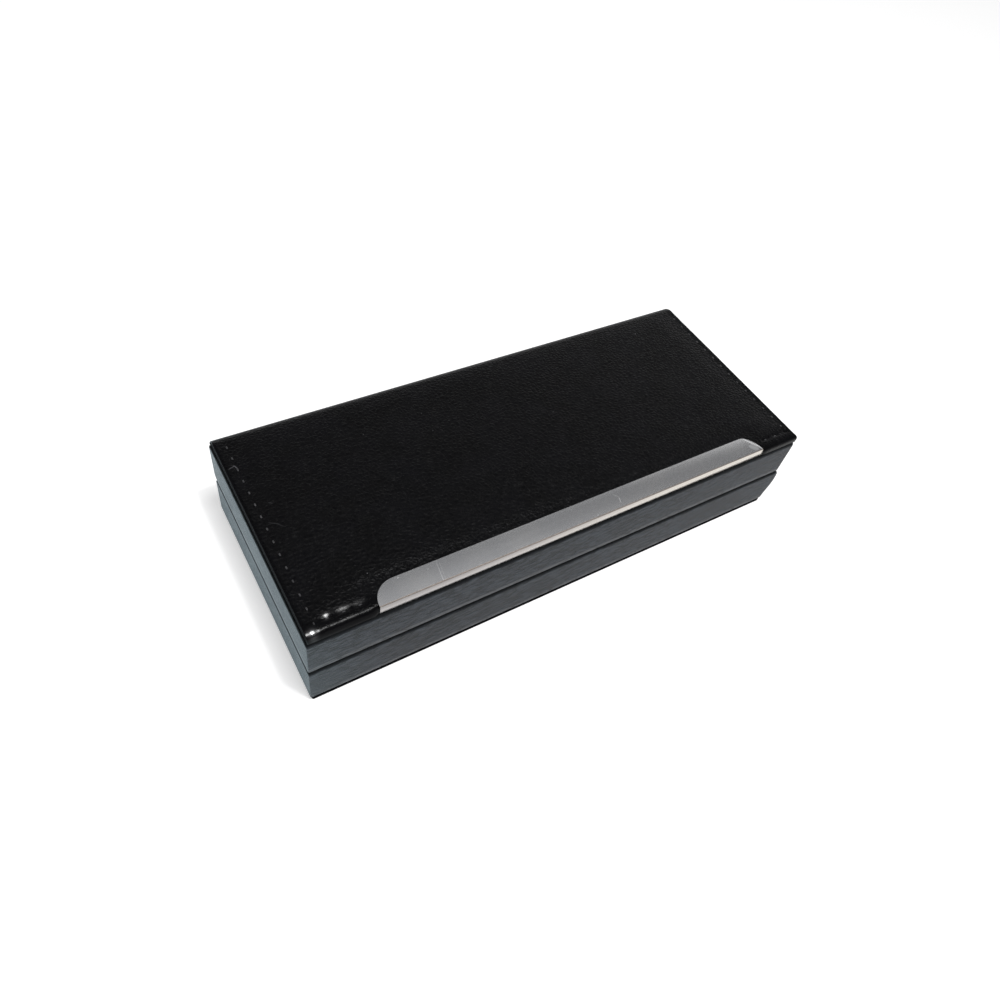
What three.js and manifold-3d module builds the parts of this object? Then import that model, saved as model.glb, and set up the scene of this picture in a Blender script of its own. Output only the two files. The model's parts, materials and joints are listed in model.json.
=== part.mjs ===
// A hinged case for one pen, closed: a leatherette base and lid, a padded leather cover with a rolled
// back edge, a folded metal strip along its front edge, a foam bed for the pen and two snap hinges.
// Millimetres, +X along the length, front edge at -Y, +Z up, origin under the middle of the base.

import * as THREE from 'three';
import { mergeVertices } from 'three/addons/utils/BufferGeometryUtils.js';
import Module from 'manifold-3d';

const wasm = await Module();
wasm.setup();

// Outer sizes
const caseLength = 175;
const caseDepth = 74.4;
const baseHeight = 16.1;
const rimGap = 0.3;
const lidFrameHeight = 15.1;
const coverHeight = 2.8;
const cornerRadius = 1.2;
const rimRadius = 1;
const lidBackRadius = 4;

// Shell layers, from the outside in
const wrapThickness = 0.5;
const glueGap = 0.3;
const wallThickness = 1.8;
const floorThickness = 1.6;
const bottomSheetThickness = 1;
const bottomSheetInset = 0.4;
const wrapFlange = 8;
const cavityCornerRadius = 1.4;

// Hinges
const hingeInset = 32.5;
const hingeLength = 26;
const lidKnuckleLength = 13;
const knuckleRadius = 1.45;
const knuckleBore = 0.8;
const knuckleGap = 0.3;
const leafThickness = 0.6;
const leafHeight = 8;
const pinRadius = 0.7;
const pinHeadRadius = 1.1;
const pinHeadLength = 0.5;
const openAngle = THREE.MathUtils.degToRad(95);
const reliefMargin = THREE.MathUtils.degToRad(3);
const notchClearance = 0.4;

// Snap spring
const springWidth = 8;
const springThickness = 0.4;
const springFootInset = 2;
const springFootHeight = 4.4;
const springBow = 0.7;
const springTipGap = 0.3;

// Rivets
const rivetEndInset = 5;
const rivetDrop = 5.4;
const rivetRadius = 0.6;
const rivetHeadRadius = 1.2;
const rivetHeadHeight = 0.5;
const leafHoleClearance = 0.15;
const wallHoleClearance = 0.3;
const rivetEndGap = 0.3;

// Pen bed
const bedHeight = 11.7;
const bedClearance = 0.3;
const bedPocketWidth = 31;
const bedPocketDepth = 2;
const grooveEndInset = 9.9;
const grooveRadius = 7.5;
const grooveStraight = 1.5;
const recessLength = 36;
const recessWidth = 44;
const recessDepth = 8;
const recessLift = 1;

// Lid cover
const leatherThickness = 0.5;
const backEdgeRadius = 6;
const frontEdgeRadius = 0.9;
const coverEndRadius = 0.6;
const coverJointGap = 0.1;
const backSeatRadius = 3;
const hemGap = 0.5;
const boardThickness = 1.2;
const boardEdgeGap = 0.3;
const boardBackInset = 6.5;
const foamGap = 0.25;
const foamBackInset = 2;

// Lid lining
const liningCardThickness = 1;
const liningGap = 0.4;
const liningPadThickness = 3.2;
const liningPadEdge = 1.1;
const liningCrownWidth = 16;
const liningDrawIn = 0.6;

// Metal strip
const trimThickness = 0.5;
const trimLeftInset = 19.9;
const trimRightInset = 16.3;
const trimTopDepth = 8.5;
const trimLipHeight = 3;
const trimCornerRadius = 7.2;
const trimBendRadius = 0.6;

// Faces for curves, and how far every cut runs past what it cuts
const arcFaces = 3;
const edgeFaces = 3;
const roundFaces = 20;
const grooveFaces = 32;
const overrun = 3;

// Places worked out from the sizes above
const baseBottom = bottomSheetThickness;
const lidBottom = baseHeight + rimGap;
const lidTop = lidBottom + lidFrameHeight;
const coverTop = lidTop + coverHeight;
const wallStack = wrapThickness + glueGap + wallThickness;
const shellInset = wrapThickness + glueGap;
const cavityLength = caseLength - 2 * wallStack;
const cavityDepth = caseDepth - 2 * wallStack;
const floorTop = baseBottom + shellInset + floorThickness;
const ceiling = lidTop - shellInset - floorThickness;
const rivetSpacing = hingeLength - 2 * rivetEndInset;
const springFootLength = hingeLength - 2 * springFootInset;
const grooveLength = cavityLength - 2 * grooveEndInset;
const trimLength = caseLength - trimLeftInset - trimRightInset;
const trimShift = (trimLeftInset - trimRightInset) / 2;
const hingeY = cavityDepth / 2 - leafThickness + knuckleRadius;
const hingeZ = baseHeight + rimGap / 2;
const reliefAngle = openAngle / 2 + reliefMargin;
const hingeToBack = caseDepth / 2 - hingeY;
const hemBottom = hingeZ + hingeToBack * Math.tan(reliefAngle) + hemGap;
const notchLength = hingeLength + 2 * pinHeadLength + 2 * notchClearance;
const notchHalfHeight = knuckleRadius + notchClearance;

// Solids and geometry
function toSolid(geometry) {
  const bare = geometry.clone();
  bare.deleteAttribute('normal');
  bare.deleteAttribute('uv');
  const merged = mergeVertices(bare);
  const mesh = new wasm.Mesh({
    numProp: 3,
    vertProperties: new Float32Array(merged.attributes.position.array),
    triVerts: new Uint32Array(merged.index.array),
  });
  return new wasm.Manifold(mesh);
}

function toGeometry(solid) {
  const mesh = solid.getMesh();
  const indexed = new THREE.BufferGeometry();
  indexed.setAttribute('position', new THREE.BufferAttribute(new Float32Array(mesh.vertProperties), 3));
  indexed.setIndex(new THREE.BufferAttribute(new Uint32Array(mesh.triVerts), 1));
  const geometry = indexed.toNonIndexed();
  geometry.computeVertexNormals();
  return geometry;
}

function box(xFrom, xTo, yFrom, yTo, zFrom, zTo) {
  const geometry = new THREE.BoxGeometry(xTo - xFrom, yTo - yFrom, zTo - zFrom);
  geometry.translate((xFrom + xTo) / 2, (yFrom + yTo) / 2, (zFrom + zTo) / 2);
  return toSolid(geometry);
}

function roundedRectangle(length, depth, radius) {
  const halfLength = length / 2;
  const halfDepth = depth / 2;
  const quarter = Math.PI / 2;
  const shape = new THREE.Shape();
  shape.moveTo(radius - halfLength, -halfDepth);
  shape.absarc(halfLength - radius, radius - halfDepth, radius, -quarter, 0);
  shape.absarc(halfLength - radius, halfDepth - radius, radius, 0, quarter);
  shape.absarc(radius - halfLength, halfDepth - radius, radius, quarter, 2 * quarter);
  shape.absarc(radius - halfLength, radius - halfDepth, radius, 2 * quarter, 3 * quarter);
  return shape;
}

function polygon(points) {
  return new THREE.Shape(points.map(([across, up]) => new THREE.Vector2(across, up)));
}

// A plan outline raised from one height to another, with its two rims rounded when edge isn't zero.
function raise(shape, zFrom, zTo, edge = 0) {
  const geometry = new THREE.ExtrudeGeometry(shape, {
    depth: zTo - zFrom - 2 * edge,
    curveSegments: arcFaces,
    bevelEnabled: edge > 0,
    bevelThickness: edge,
    bevelSize: edge,
    bevelOffset: -edge,
    bevelSegments: edgeFaces,
  });
  geometry.translate(0, 0, zFrom + edge);
  return toSolid(geometry);
}

// A section drawn in the Y-Z plane and run along X, centred, with its end edges rounded by edge.
function runAlongX(shape, length, edge = 0, faces = arcFaces) {
  const geometry = new THREE.ExtrudeGeometry(shape, {
    depth: length - 2 * edge,
    curveSegments: faces,
    bevelEnabled: edge > 0,
    bevelThickness: edge,
    bevelSize: edge,
    bevelOffset: -edge,
    bevelSegments: edgeFaces,
  });
  geometry.translate(0, 0, edge - length / 2);
  const alongY = new THREE.Vector3(0, 1, 0);
  const alongZ = new THREE.Vector3(0, 0, 1);
  const alongX = new THREE.Vector3(1, 0, 0);
  geometry.applyMatrix4(new THREE.Matrix4().makeBasis(alongY, alongZ, alongX));
  return toSolid(geometry);
}

function roundBar(radius, length) {
  const section = new THREE.Shape();
  section.absarc(0, 0, radius, 0, 2 * Math.PI);
  return runAlongX(section, length, 0, roundFaces / 2);
}

// The wedge behind the hinge axis that the opening lid needs: side is 1 over the base, -1 under the lid.
function swingRelief(inset, side) {
  const across = Math.cos(reliefAngle);
  const up = Math.sin(reliefAngle);
  const startY = hingeY - inset * up;
  const startZ = hingeZ - side * inset * across;
  const reach = 2 * wallStack + overrun;
  const section = polygon([
    [startY, startZ],
    [startY + reach * across, startZ - side * reach * up],
    [startY + reach, startZ],
    [startY + reach, startZ + side * reach],
    [startY, startZ + side * reach],
  ]);
  return runAlongX(section, caseLength + 2 * overrun);
}

// Outer form of the base and of the lid frame, drawn in by inset on every side.
function baseForm(inset) {
  const plan = roundedRectangle(caseLength - 2 * inset, caseDepth - 2 * inset, cornerRadius - inset);
  const block = raise(plan, baseBottom + inset, baseHeight - inset, rimRadius - inset);
  return block.subtract(swingRelief(inset, 1));
}

function lidForm(inset) {
  const plan = roundedRectangle(caseLength - 2 * inset, caseDepth - 2 * inset, cornerRadius - inset);
  const block = raise(plan, lidBottom + inset, lidTop - inset, rimRadius - inset);
  const back = caseDepth / 2 - inset;
  const keep = lidSection(back, lidTop - inset, lidBackRadius - inset, lidBottom - overrun);
  return block.intersect(runAlongX(keep, caseLength + 2 * overrun)).subtract(swingRelief(inset, -1));
}

// Side view of the lid frame with its rounded upper back edge.
function lidSection(back, top, radius, bottom) {
  const front = -caseDepth / 2 - overrun;
  const section = new THREE.Shape();
  section.moveTo(front, bottom);
  section.lineTo(back, bottom);
  section.absarc(back - radius, top - radius, radius, 0, Math.PI / 2);
  section.lineTo(front, top);
  return section;
}

function cavityPrism(zFrom, zTo, gap = 0) {
  const radius = Math.max(cavityCornerRadius - gap, wrapThickness);
  return raise(roundedRectangle(cavityLength - 2 * gap, cavityDepth - 2 * gap, radius), zFrom, zTo);
}

function flangeOpening(zFrom, zTo) {
  return box(
    wrapFlange - caseLength / 2, caseLength / 2 - wrapFlange,
    wrapFlange - caseDepth / 2, caseDepth / 2 - wrapFlange,
    zFrom, zTo,
  );
}

const hingePlaces = [
  { side: 'left', x: hingeInset - caseLength / 2 },
  { side: 'right', x: caseLength / 2 - hingeInset },
];

// Notches in the back wall that the knuckles lie in.
function cutHingeNotches(solid) {
  let cut = solid;
  for (const { x } of hingePlaces) {
    const notch = box(
      x - notchLength / 2, x + notchLength / 2,
      cavityDepth / 2 - leafThickness / 2, caseDepth / 2 + overrun,
      hingeZ - notchHalfHeight, hingeZ + notchHalfHeight,
    );
    cut = cut.subtract(notch);
  }
  return cut;
}

// Through holes in the back wall for the rivets: side is 1 above the axis, -1 below it.
function cutRivetHoles(solid, side) {
  let cut = solid;
  for (const { x } of hingePlaces) {
    for (const along of [-rivetSpacing / 2, rivetSpacing / 2]) {
      const hole = new THREE.CylinderGeometry(
        rivetRadius + wallHoleClearance, rivetRadius + wallHoleClearance, wallStack + overrun, roundFaces,
      );
      hole.translate(x + along, cavityDepth / 2 + wallThickness / 2, hingeZ + side * rivetDrop);
      cut = cut.subtract(toSolid(hole));
    }
  }
  return cut;
}

// Shells
function makeBottomSheet() {
  const inset = bottomSheetInset;
  const plan = roundedRectangle(caseLength - 2 * inset, caseDepth - 2 * inset, cornerRadius);
  return raise(plan, 0, bottomSheetThickness);
}

function makeBaseWrap() {
  const middle = (baseBottom + baseHeight) / 2;
  const skin = baseForm(0)
    .subtract(baseForm(wrapThickness))
    .subtract(cavityPrism(middle, baseHeight + overrun))
    .subtract(flangeOpening(baseBottom - overrun, middle));
  return cutHingeNotches(skin);
}

function makeBaseTray() {
  const tray = baseForm(shellInset).subtract(cavityPrism(floorTop, baseHeight + overrun));
  return cutRivetHoles(cutHingeNotches(tray), -1);
}

function makeLidWrap() {
  const middle = (lidBottom + lidTop) / 2;
  const skin = lidForm(0)
    .subtract(lidForm(wrapThickness))
    .subtract(cavityPrism(lidBottom - overrun, middle))
    .subtract(flangeOpening(middle, lidTop + overrun));
  return cutHingeNotches(skin);
}

function makeLidFrame() {
  const frame = lidForm(shellInset).subtract(cavityPrism(lidBottom - overrun, ceiling));
  return cutRivetHoles(cutHingeNotches(frame), 1);
}

// Foam bed with a round-bottomed groove for the pen and a bowl to reach under it.
function makePenBed() {
  const bedTop = floorTop + bedHeight;
  const grooveZ = bedTop - grooveStraight;
  const barrelLength = grooveLength - 2 * grooveRadius;
  let bed = cavityPrism(floorTop, bedTop, bedClearance);
  const trough = new THREE.CapsuleGeometry(grooveRadius, barrelLength, 2 * arcFaces, grooveFaces);
  trough.rotateZ(Math.PI / 2);
  trough.translate(0, 0, grooveZ);
  const mouth = roundedRectangle(grooveLength, 2 * grooveRadius, grooveRadius);
  const bowl = new THREE.SphereGeometry(1, grooveFaces, grooveFaces / 2);
  bowl.scale(recessLength / 2, recessWidth / 2, recessDepth + recessLift);
  bowl.translate(0, 0, bedTop + recessLift);
  bed = bed
    .subtract(toSolid(trough))
    .subtract(raise(mouth, grooveZ, bedTop + overrun))
    .subtract(toSolid(bowl));
  for (const { x } of hingePlaces) {
    const pocket = box(
      x - bedPocketWidth / 2, x + bedPocketWidth / 2,
      cavityDepth / 2 - bedPocketDepth, caseDepth / 2,
      floorTop - overrun, bedTop + overrun,
    );
    bed = bed.subtract(pocket);
  }
  return bed;
}

// Hinge parts, about the hinge axis at the origin: side is 1 for the lid's leaf, -1 for the base's.
function makeLeaf(side) {
  const inner = -knuckleRadius;
  const outer = inner + leafThickness;
  const plateBottom = Math.min(0, side * leafHeight);
  const plateTop = Math.max(0, side * leafHeight);
  let leaf = box(-hingeLength / 2, hingeLength / 2, inner, outer, plateBottom, plateTop);
  const clear = knuckleRadius + knuckleGap;
  const middleHalf = lidKnuckleLength / 2;
  const spans = side > 0
    ? [[-middleHalf, middleHalf]]
    : [[-hingeLength / 2, -middleHalf - knuckleGap], [middleHalf + knuckleGap, hingeLength / 2]];
  const freeSpans = side > 0
    ? [[-hingeLength / 2 - overrun, -middleHalf], [middleHalf, hingeLength / 2 + overrun]]
    : [[-middleHalf - knuckleGap, middleHalf + knuckleGap]];
  for (const [from, to] of freeSpans) {
    leaf = leaf.subtract(box(from, to, inner - overrun, outer + overrun, -clear, clear));
  }
  for (const [from, to] of spans) {
    leaf = leaf.add(roundBar(knuckleRadius, to - from).translate((from + to) / 2, 0, 0));
  }
  leaf = leaf.subtract(roundBar(knuckleBore, hingeLength + overrun));
  for (const along of [-rivetSpacing / 2, rivetSpacing / 2]) {
    const radius = rivetRadius + leafHoleClearance;
    const hole = new THREE.CylinderGeometry(radius, radius, overrun, roundFaces);
    hole.translate(along, (inner + outer) / 2, side * rivetDrop);
    leaf = leaf.subtract(toSolid(hole));
  }
  return leaf;
}

function makePin() {
  const half = hingeLength / 2;
  const profile = [
    [0, -half - pinHeadLength],
    [pinRadius, -half - pinHeadLength],
    [pinHeadRadius, -half - pinHeadLength / 2],
    [pinHeadRadius, -half],
    [pinRadius, -half],
    [pinRadius, half],
    [pinHeadRadius, half],
    [pinHeadRadius, half + pinHeadLength / 2],
    [pinRadius, half + pinHeadLength],
    [0, half + pinHeadLength],
  ];
  const points = profile.map(([r, along]) => new THREE.Vector2(r, along));
  const geometry = new THREE.LatheGeometry(points, roundFaces);
  geometry.rotateZ(Math.PI / 2);
  return toSolid(geometry);
}

// Strip riveted to the base's leaf, bowed inward, with its tip bearing on the lid's knuckle.
function makeSnapSpring() {
  const outer = -knuckleRadius;
  const middle = outer - springThickness / 2;
  const footBottom = -leafHeight + springThickness;
  const footTop = footBottom + springFootHeight;
  const rise = -footTop;
  const tip = -knuckleRadius - springTipGap - springThickness / 2;
  const spine = new THREE.SplineCurve([
    new THREE.Vector2(middle, footBottom),
    new THREE.Vector2(middle, footTop),
    new THREE.Vector2(middle - springBow, footTop + rise / 2),
    new THREE.Vector2(tip, 0),
    new THREE.Vector2(tip - springBow / 2, rise / 3),
  ]);
  const steps = 4 * arcFaces;
  const half = springThickness / 2;
  const bent = [];
  const back = [];
  for (let step = 0; step <= steps; step += 1) {
    const share = step / steps;
    const at = spine.getPoint(share);
    const along = spine.getTangent(share);
    bent.push([Math.min(at.x + along.y * half, outer), at.y - along.x * half]);
    back.unshift([at.x - along.y * half, at.y + along.x * half]);
  }
  const finger = runAlongX(polygon([...bent, ...back]), springWidth);
  const foot = box(
    -springFootLength / 2, springFootLength / 2, outer - springThickness, outer, footBottom, footTop,
  );
  let spring = foot.add(finger);
  for (const along of [-rivetSpacing / 2, rivetSpacing / 2]) {
    const radius = rivetRadius + leafHoleClearance;
    const hole = new THREE.CylinderGeometry(radius, radius, overrun, roundFaces);
    hole.translate(along, middle, -rivetDrop);
    spring = spring.subtract(toSolid(hole));
  }
  return spring;
}

// Rivet with its head's flat underside at the origin and its shank along +Y.
function makeRivet(gripLength) {
  const profile = [
    [0, gripLength],
    [rivetRadius, gripLength],
    [rivetRadius, 0],
    [rivetHeadRadius, 0],
    [rivetHeadRadius, -rivetHeadHeight / 3],
    [rivetHeadRadius * Math.SQRT1_2, -rivetHeadHeight * Math.SQRT1_2],
    [0, -rivetHeadHeight],
  ];
  const points = profile.reverse().map(([r, along]) => new THREE.Vector2(r, along));
  return toSolid(new THREE.LatheGeometry(points, roundFaces));
}

// Side view of the cover, drawn in by inset, down to a given height behind the lid.
function coverSolid(inset, bottom) {
  const front = -caseDepth / 2 + inset;
  const back = caseDepth / 2 + leatherThickness - inset;
  const top = coverTop - inset;
  const backRadius = backEdgeRadius - inset;
  const frontRadius = Math.max(frontEdgeRadius - inset, wrapThickness / 2);
  const section = new THREE.Shape();
  section.moveTo(front, bottom);
  section.lineTo(back, bottom);
  section.absarc(back - backRadius, top - backRadius, backRadius, 0, Math.PI / 2);
  section.absarc(front + frontRadius, top - frontRadius, frontRadius, Math.PI / 2, Math.PI);
  const endRadius = Math.max(coverEndRadius - inset, 0);
  return runAlongX(section, caseLength - 2 * inset, endRadius, 2 * arcFaces);
}

// Everything under the cover, so that the cover and its foam sit over the lid frame with a small gap.
function coverSeat(gap) {
  const section = lidSection(caseDepth / 2, lidTop + gap, backSeatRadius, baseBottom);
  return runAlongX(section, caseLength + 2 * overrun);
}

function makeCoverLeather() {
  return coverSolid(0, hemBottom)
    .subtract(coverSolid(leatherThickness, hemBottom - overrun))
    .subtract(coverSeat(coverJointGap));
}

function coverBoardEdges() {
  const sideEdge = leatherThickness + boardEdgeGap;
  return {
    halfLength: caseLength / 2 - sideEdge,
    front: -caseDepth / 2 + sideEdge,
    back: caseDepth / 2 - boardBackInset,
  };
}

function makeCoverBoard() {
  const { halfLength, front, back } = coverBoardEdges();
  const plan = roundedRectangle(2 * halfLength, back - front, cornerRadius - shellInset);
  return raise(plan, lidTop, lidTop + boardThickness).translate(0, (front + back) / 2, 0);
}

function makeCoverFoam() {
  const { halfLength, front, back } = coverBoardEdges();
  const overBoard = box(
    -halfLength - overrun, halfLength + overrun,
    front - overrun, back + boardEdgeGap,
    lidTop - overrun, lidTop + boardThickness + foamGap / 2,
  );
  const tail = box(
    -halfLength - overrun, halfLength + overrun,
    caseDepth / 2 - foamBackInset, caseDepth / 2 + overrun,
    hemBottom - overrun, coverTop,
  );
  return coverSolid(leatherThickness + foamGap, hemBottom)
    .subtract(coverSeat(foamGap))
    .subtract(overBoard)
    .subtract(tail);
}

function makeTrimPlate() {
  const outerFront = -caseDepth / 2 - trimThickness;
  const innerFront = -caseDepth / 2;
  const rear = outerFront + trimTopDepth;
  const top = coverTop + trimThickness;
  const section = new THREE.Shape();
  section.moveTo(outerFront, top - trimLipHeight);
  section.lineTo(innerFront, top - trimLipHeight);
  section.lineTo(innerFront, coverTop);
  section.lineTo(rear, coverTop);
  section.lineTo(rear, top);
  section.absarc(outerFront + trimBendRadius, top - trimBendRadius, trimBendRadius, Math.PI / 2, Math.PI);
  const half = trimLength / 2;
  const radius = trimCornerRadius;
  const plan = new THREE.Shape();
  plan.moveTo(-half, outerFront - overrun);
  plan.lineTo(half, outerFront - overrun);
  plan.absarc(half - radius, rear - radius, radius, 0, Math.PI / 2);
  plan.absarc(radius - half, rear - radius, radius, Math.PI / 2, Math.PI);
  const strip = runAlongX(section, trimLength + overrun, 0, 2 * arcFaces);
  return strip.intersect(raise(plan, lidBottom, top + overrun)).translate(trimShift, 0, 0);
}

// Lining of the lid
function makeLiningCard() {
  return cavityPrism(ceiling - liningCardThickness, ceiling, liningGap);
}

// A padded panel hanging from its flat back: rings of one outline, drawn in towards the crown.
function makeLiningPad() {
  const halfLength = cavityLength / 2 - liningGap;
  const halfDepth = cavityDepth / 2 - liningGap;
  const back = ceiling - liningCardThickness;
  const ringSteps = 7;
  const sideSteps = 12;
  const rings = [{ inset: 0, drop: 0 }];
  for (let step = 0; step <= ringSteps; step += 1) {
    const turn = (step / ringSteps) * (Math.PI / 2);
    rings.push({
      inset: liningCrownWidth * (1 - Math.cos(turn)),
      drop: liningPadEdge + (liningPadThickness - liningPadEdge) * Math.sin(turn),
    });
  }
  const outline = [];
  for (const [fromX, fromY, toX, toY] of [[-1, -1, 1, -1], [1, -1, 1, 1], [1, 1, -1, 1], [-1, 1, -1, -1]]) {
    for (let step = 0; step < sideSteps; step += 1) {
      const share = step / sideSteps;
      outline.push([fromX + (toX - fromX) * share, fromY + (toY - fromY) * share, Math.sin(Math.PI * share)]);
    }
  }
  const positions = [];
  for (const { inset, drop } of rings) {
    for (const [x, y, bow] of outline) {
      const drawn = inset + liningDrawIn * bow;
      const acrossX = Math.abs(x) === 1 ? drawn : inset;
      const acrossY = Math.abs(y) === 1 ? drawn : inset;
      positions.push(x * (halfLength - acrossX), y * (halfDepth - acrossY), back - drop);
    }
  }
  const count = outline.length;
  const faces = [];
  for (let ring = 0; ring + 1 < rings.length; ring += 1) {
    for (let at = 0; at < count; at += 1) {
      const next = (at + 1) % count;
      const upper = ring * count;
      const lower = upper + count;
      faces.push(upper + at, lower + at, lower + next, upper + at, lower + next, upper + next);
    }
  }
  const last = (rings.length - 1) * count;
  const backCentre = positions.length / 3;
  positions.push(0, 0, back);
  const crownCentre = positions.length / 3;
  positions.push(0, 0, back - liningPadThickness);
  for (let at = 0; at < count; at += 1) {
    const next = (at + 1) % count;
    faces.push(backCentre, at, next, crownCentre, last + next, last + at);
  }
  const geometry = new THREE.BufferGeometry();
  geometry.setAttribute('position', new THREE.Float32BufferAttribute(positions, 3));
  geometry.setIndex(faces);
  return toSolid(geometry);
}

// Finishes
const finishes = {
  leatherette: { color: 0x565b62, roughness: 0.62, metalness: 0 },
  leather: { color: 0x131315, roughness: 0.42, metalness: 0 },
  sheet: { color: 0x18181a, roughness: 0.85, metalness: 0 },
  moulding: { color: 0x2c2d30, roughness: 0.6, metalness: 0 },
  velvet: { color: 0x161618, roughness: 0.98, metalness: 0 },
  satin: { color: 0xd8d4cc, roughness: 0.45, metalness: 0 },
  card: { color: 0x8d8a82, roughness: 0.9, metalness: 0 },
  foam: { color: 0xc9c6bd, roughness: 0.95, metalness: 0 },
  strip: { color: 0xb8b9bb, roughness: 0.3, metalness: 1 },
  steel: { color: 0xa9a49a, roughness: 0.35, metalness: 1 },
};

function addPiece(group, name, solid, finish) {
  const mesh = new THREE.Mesh(toGeometry(solid), new THREE.MeshStandardMaterial(finishes[finish]));
  mesh.name = name;
  group.add(mesh);
  return mesh;
}

// Two rivets through a leaf: side is 1 for the lid, -1 for the base.
function addRivets(group, owner, side, headY) {
  const gripLength = cavityDepth / 2 + wallThickness - hingeY - headY - rivetEndGap;
  const places = [-rivetSpacing / 2, rivetSpacing / 2];
  places.forEach((along, index) => {
    const rivet = addPiece(group, `${owner}_rivet_${index + 1}`, makeRivet(gripLength), 'steel');
    rivet.position.set(along, headY, side * rivetDrop);
  });
}

// Assembly: the lid's pieces hang from a group on the hinge axis, so that turning it about X opens the lid.
const penCase = new THREE.Group();
penCase.name = 'pen_case';
const base = new THREE.Group();
base.name = 'base';
const lidPivot = new THREE.Group();
lidPivot.name = 'lid_pivot';
lidPivot.position.set(0, hingeY, hingeZ);
const lid = new THREE.Group();
lid.name = 'lid';
lid.position.set(0, -hingeY, -hingeZ);
lidPivot.add(lid);
penCase.add(base, lidPivot);

addPiece(base, 'bottom_sheet', makeBottomSheet(), 'sheet');
addPiece(base, 'base_wrap', makeBaseWrap(), 'leatherette');
addPiece(base, 'base_tray', makeBaseTray(), 'moulding');
addPiece(base, 'pen_bed', makePenBed(), 'velvet');

addPiece(lid, 'lid_wrap', makeLidWrap(), 'leatherette');
addPiece(lid, 'lid_frame', makeLidFrame(), 'moulding');
addPiece(lid, 'cover_board', makeCoverBoard(), 'card');
addPiece(lid, 'cover_foam', makeCoverFoam(), 'foam');
addPiece(lid, 'cover_leather', makeCoverLeather(), 'leather');
addPiece(lid, 'trim_plate', makeTrimPlate(), 'strip');
addPiece(lid, 'lining_card', makeLiningCard(), 'card');
addPiece(lid, 'lining_pad', makeLiningPad(), 'satin');

for (const { side, x } of hingePlaces) {
  const baseHinge = new THREE.Group();
  baseHinge.position.set(x, hingeY, hingeZ);
  base.add(baseHinge);
  addPiece(baseHinge, `base_leaf_${side}`, makeLeaf(-1), 'steel');
  addPiece(baseHinge, `hinge_pin_${side}`, makePin(), 'steel');
  addPiece(baseHinge, `snap_spring_${side}`, makeSnapSpring(), 'steel');
  addRivets(baseHinge, `base_${side}`, -1, -knuckleRadius - springThickness);

  const lidHinge = new THREE.Group();
  lidHinge.position.set(x, 0, 0);
  lidPivot.add(lidHinge);
  addPiece(lidHinge, `lid_leaf_${side}`, makeLeaf(1), 'steel');
  addRivets(lidHinge, `lid_${side}`, 1, -knuckleRadius);
}

export default penCase;
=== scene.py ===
# Closed pen case on a plain pale floor: leatherette base and lid, stitched black leather cover,
# bare metal strip, velvet bed and satin lining inside. Metres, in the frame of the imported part.

import json
import math
import bmesh
import bpy
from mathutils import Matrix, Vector, noise

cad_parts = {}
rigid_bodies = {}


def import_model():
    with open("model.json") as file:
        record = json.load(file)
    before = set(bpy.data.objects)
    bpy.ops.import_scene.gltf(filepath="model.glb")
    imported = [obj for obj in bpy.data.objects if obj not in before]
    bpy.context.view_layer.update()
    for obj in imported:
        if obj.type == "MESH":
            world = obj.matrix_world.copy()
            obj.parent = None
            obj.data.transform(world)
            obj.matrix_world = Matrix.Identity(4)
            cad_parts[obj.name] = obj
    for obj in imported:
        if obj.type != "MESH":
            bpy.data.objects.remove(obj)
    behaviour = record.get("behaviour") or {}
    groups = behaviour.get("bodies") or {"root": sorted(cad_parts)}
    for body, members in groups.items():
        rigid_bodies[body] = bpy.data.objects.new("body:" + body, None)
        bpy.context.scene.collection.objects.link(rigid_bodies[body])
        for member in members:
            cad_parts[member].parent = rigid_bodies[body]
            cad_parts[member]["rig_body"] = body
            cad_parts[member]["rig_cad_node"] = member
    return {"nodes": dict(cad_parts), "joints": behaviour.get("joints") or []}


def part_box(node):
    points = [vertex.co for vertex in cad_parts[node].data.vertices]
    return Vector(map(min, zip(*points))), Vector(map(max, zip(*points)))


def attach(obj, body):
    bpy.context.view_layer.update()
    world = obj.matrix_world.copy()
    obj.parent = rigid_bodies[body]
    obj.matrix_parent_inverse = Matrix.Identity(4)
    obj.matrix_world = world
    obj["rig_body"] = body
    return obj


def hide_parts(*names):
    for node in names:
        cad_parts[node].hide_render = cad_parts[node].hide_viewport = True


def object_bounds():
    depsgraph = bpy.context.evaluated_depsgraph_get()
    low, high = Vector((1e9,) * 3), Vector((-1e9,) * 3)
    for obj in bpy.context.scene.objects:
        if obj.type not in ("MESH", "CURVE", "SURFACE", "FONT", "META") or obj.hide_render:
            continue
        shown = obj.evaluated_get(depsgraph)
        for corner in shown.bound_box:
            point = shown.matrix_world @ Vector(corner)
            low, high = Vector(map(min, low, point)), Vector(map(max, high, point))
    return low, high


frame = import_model()
cadLow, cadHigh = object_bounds()
mm = 0.001
far = 0.2  # reaches past the case on every side
print("frame loaded,", len(frame["nodes"]), "nodes")

# places taken from the frame
hinge = frame["joints"][0]
hingeAxis = Vector(hinge["pos_m"])
reliefAngle = math.radians(hinge["range_deg"][1] / 2 + 3)
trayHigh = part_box("base_tray")[1]
coverLow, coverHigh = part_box("cover_leather")
lidLow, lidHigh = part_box("lid_wrap")
baseLow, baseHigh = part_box("base_wrap")
bedLow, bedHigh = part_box("pen_bed")
liningLow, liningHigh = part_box("lining_pad")
boardLow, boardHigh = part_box("cover_board")
trimLow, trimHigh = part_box("trim_plate")
pinBoxes = [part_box("hinge_pin_left"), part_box("hinge_pin_right")]


# small helpers

def clearSelection():
    if bpy.context.mode != "OBJECT":
        bpy.ops.object.mode_set(mode="OBJECT")
    bpy.ops.object.select_all(action="DESELECT")


def makeActive(piece):
    clearSelection()
    piece.select_set(True)
    bpy.context.view_layer.objects.active = piece


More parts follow.
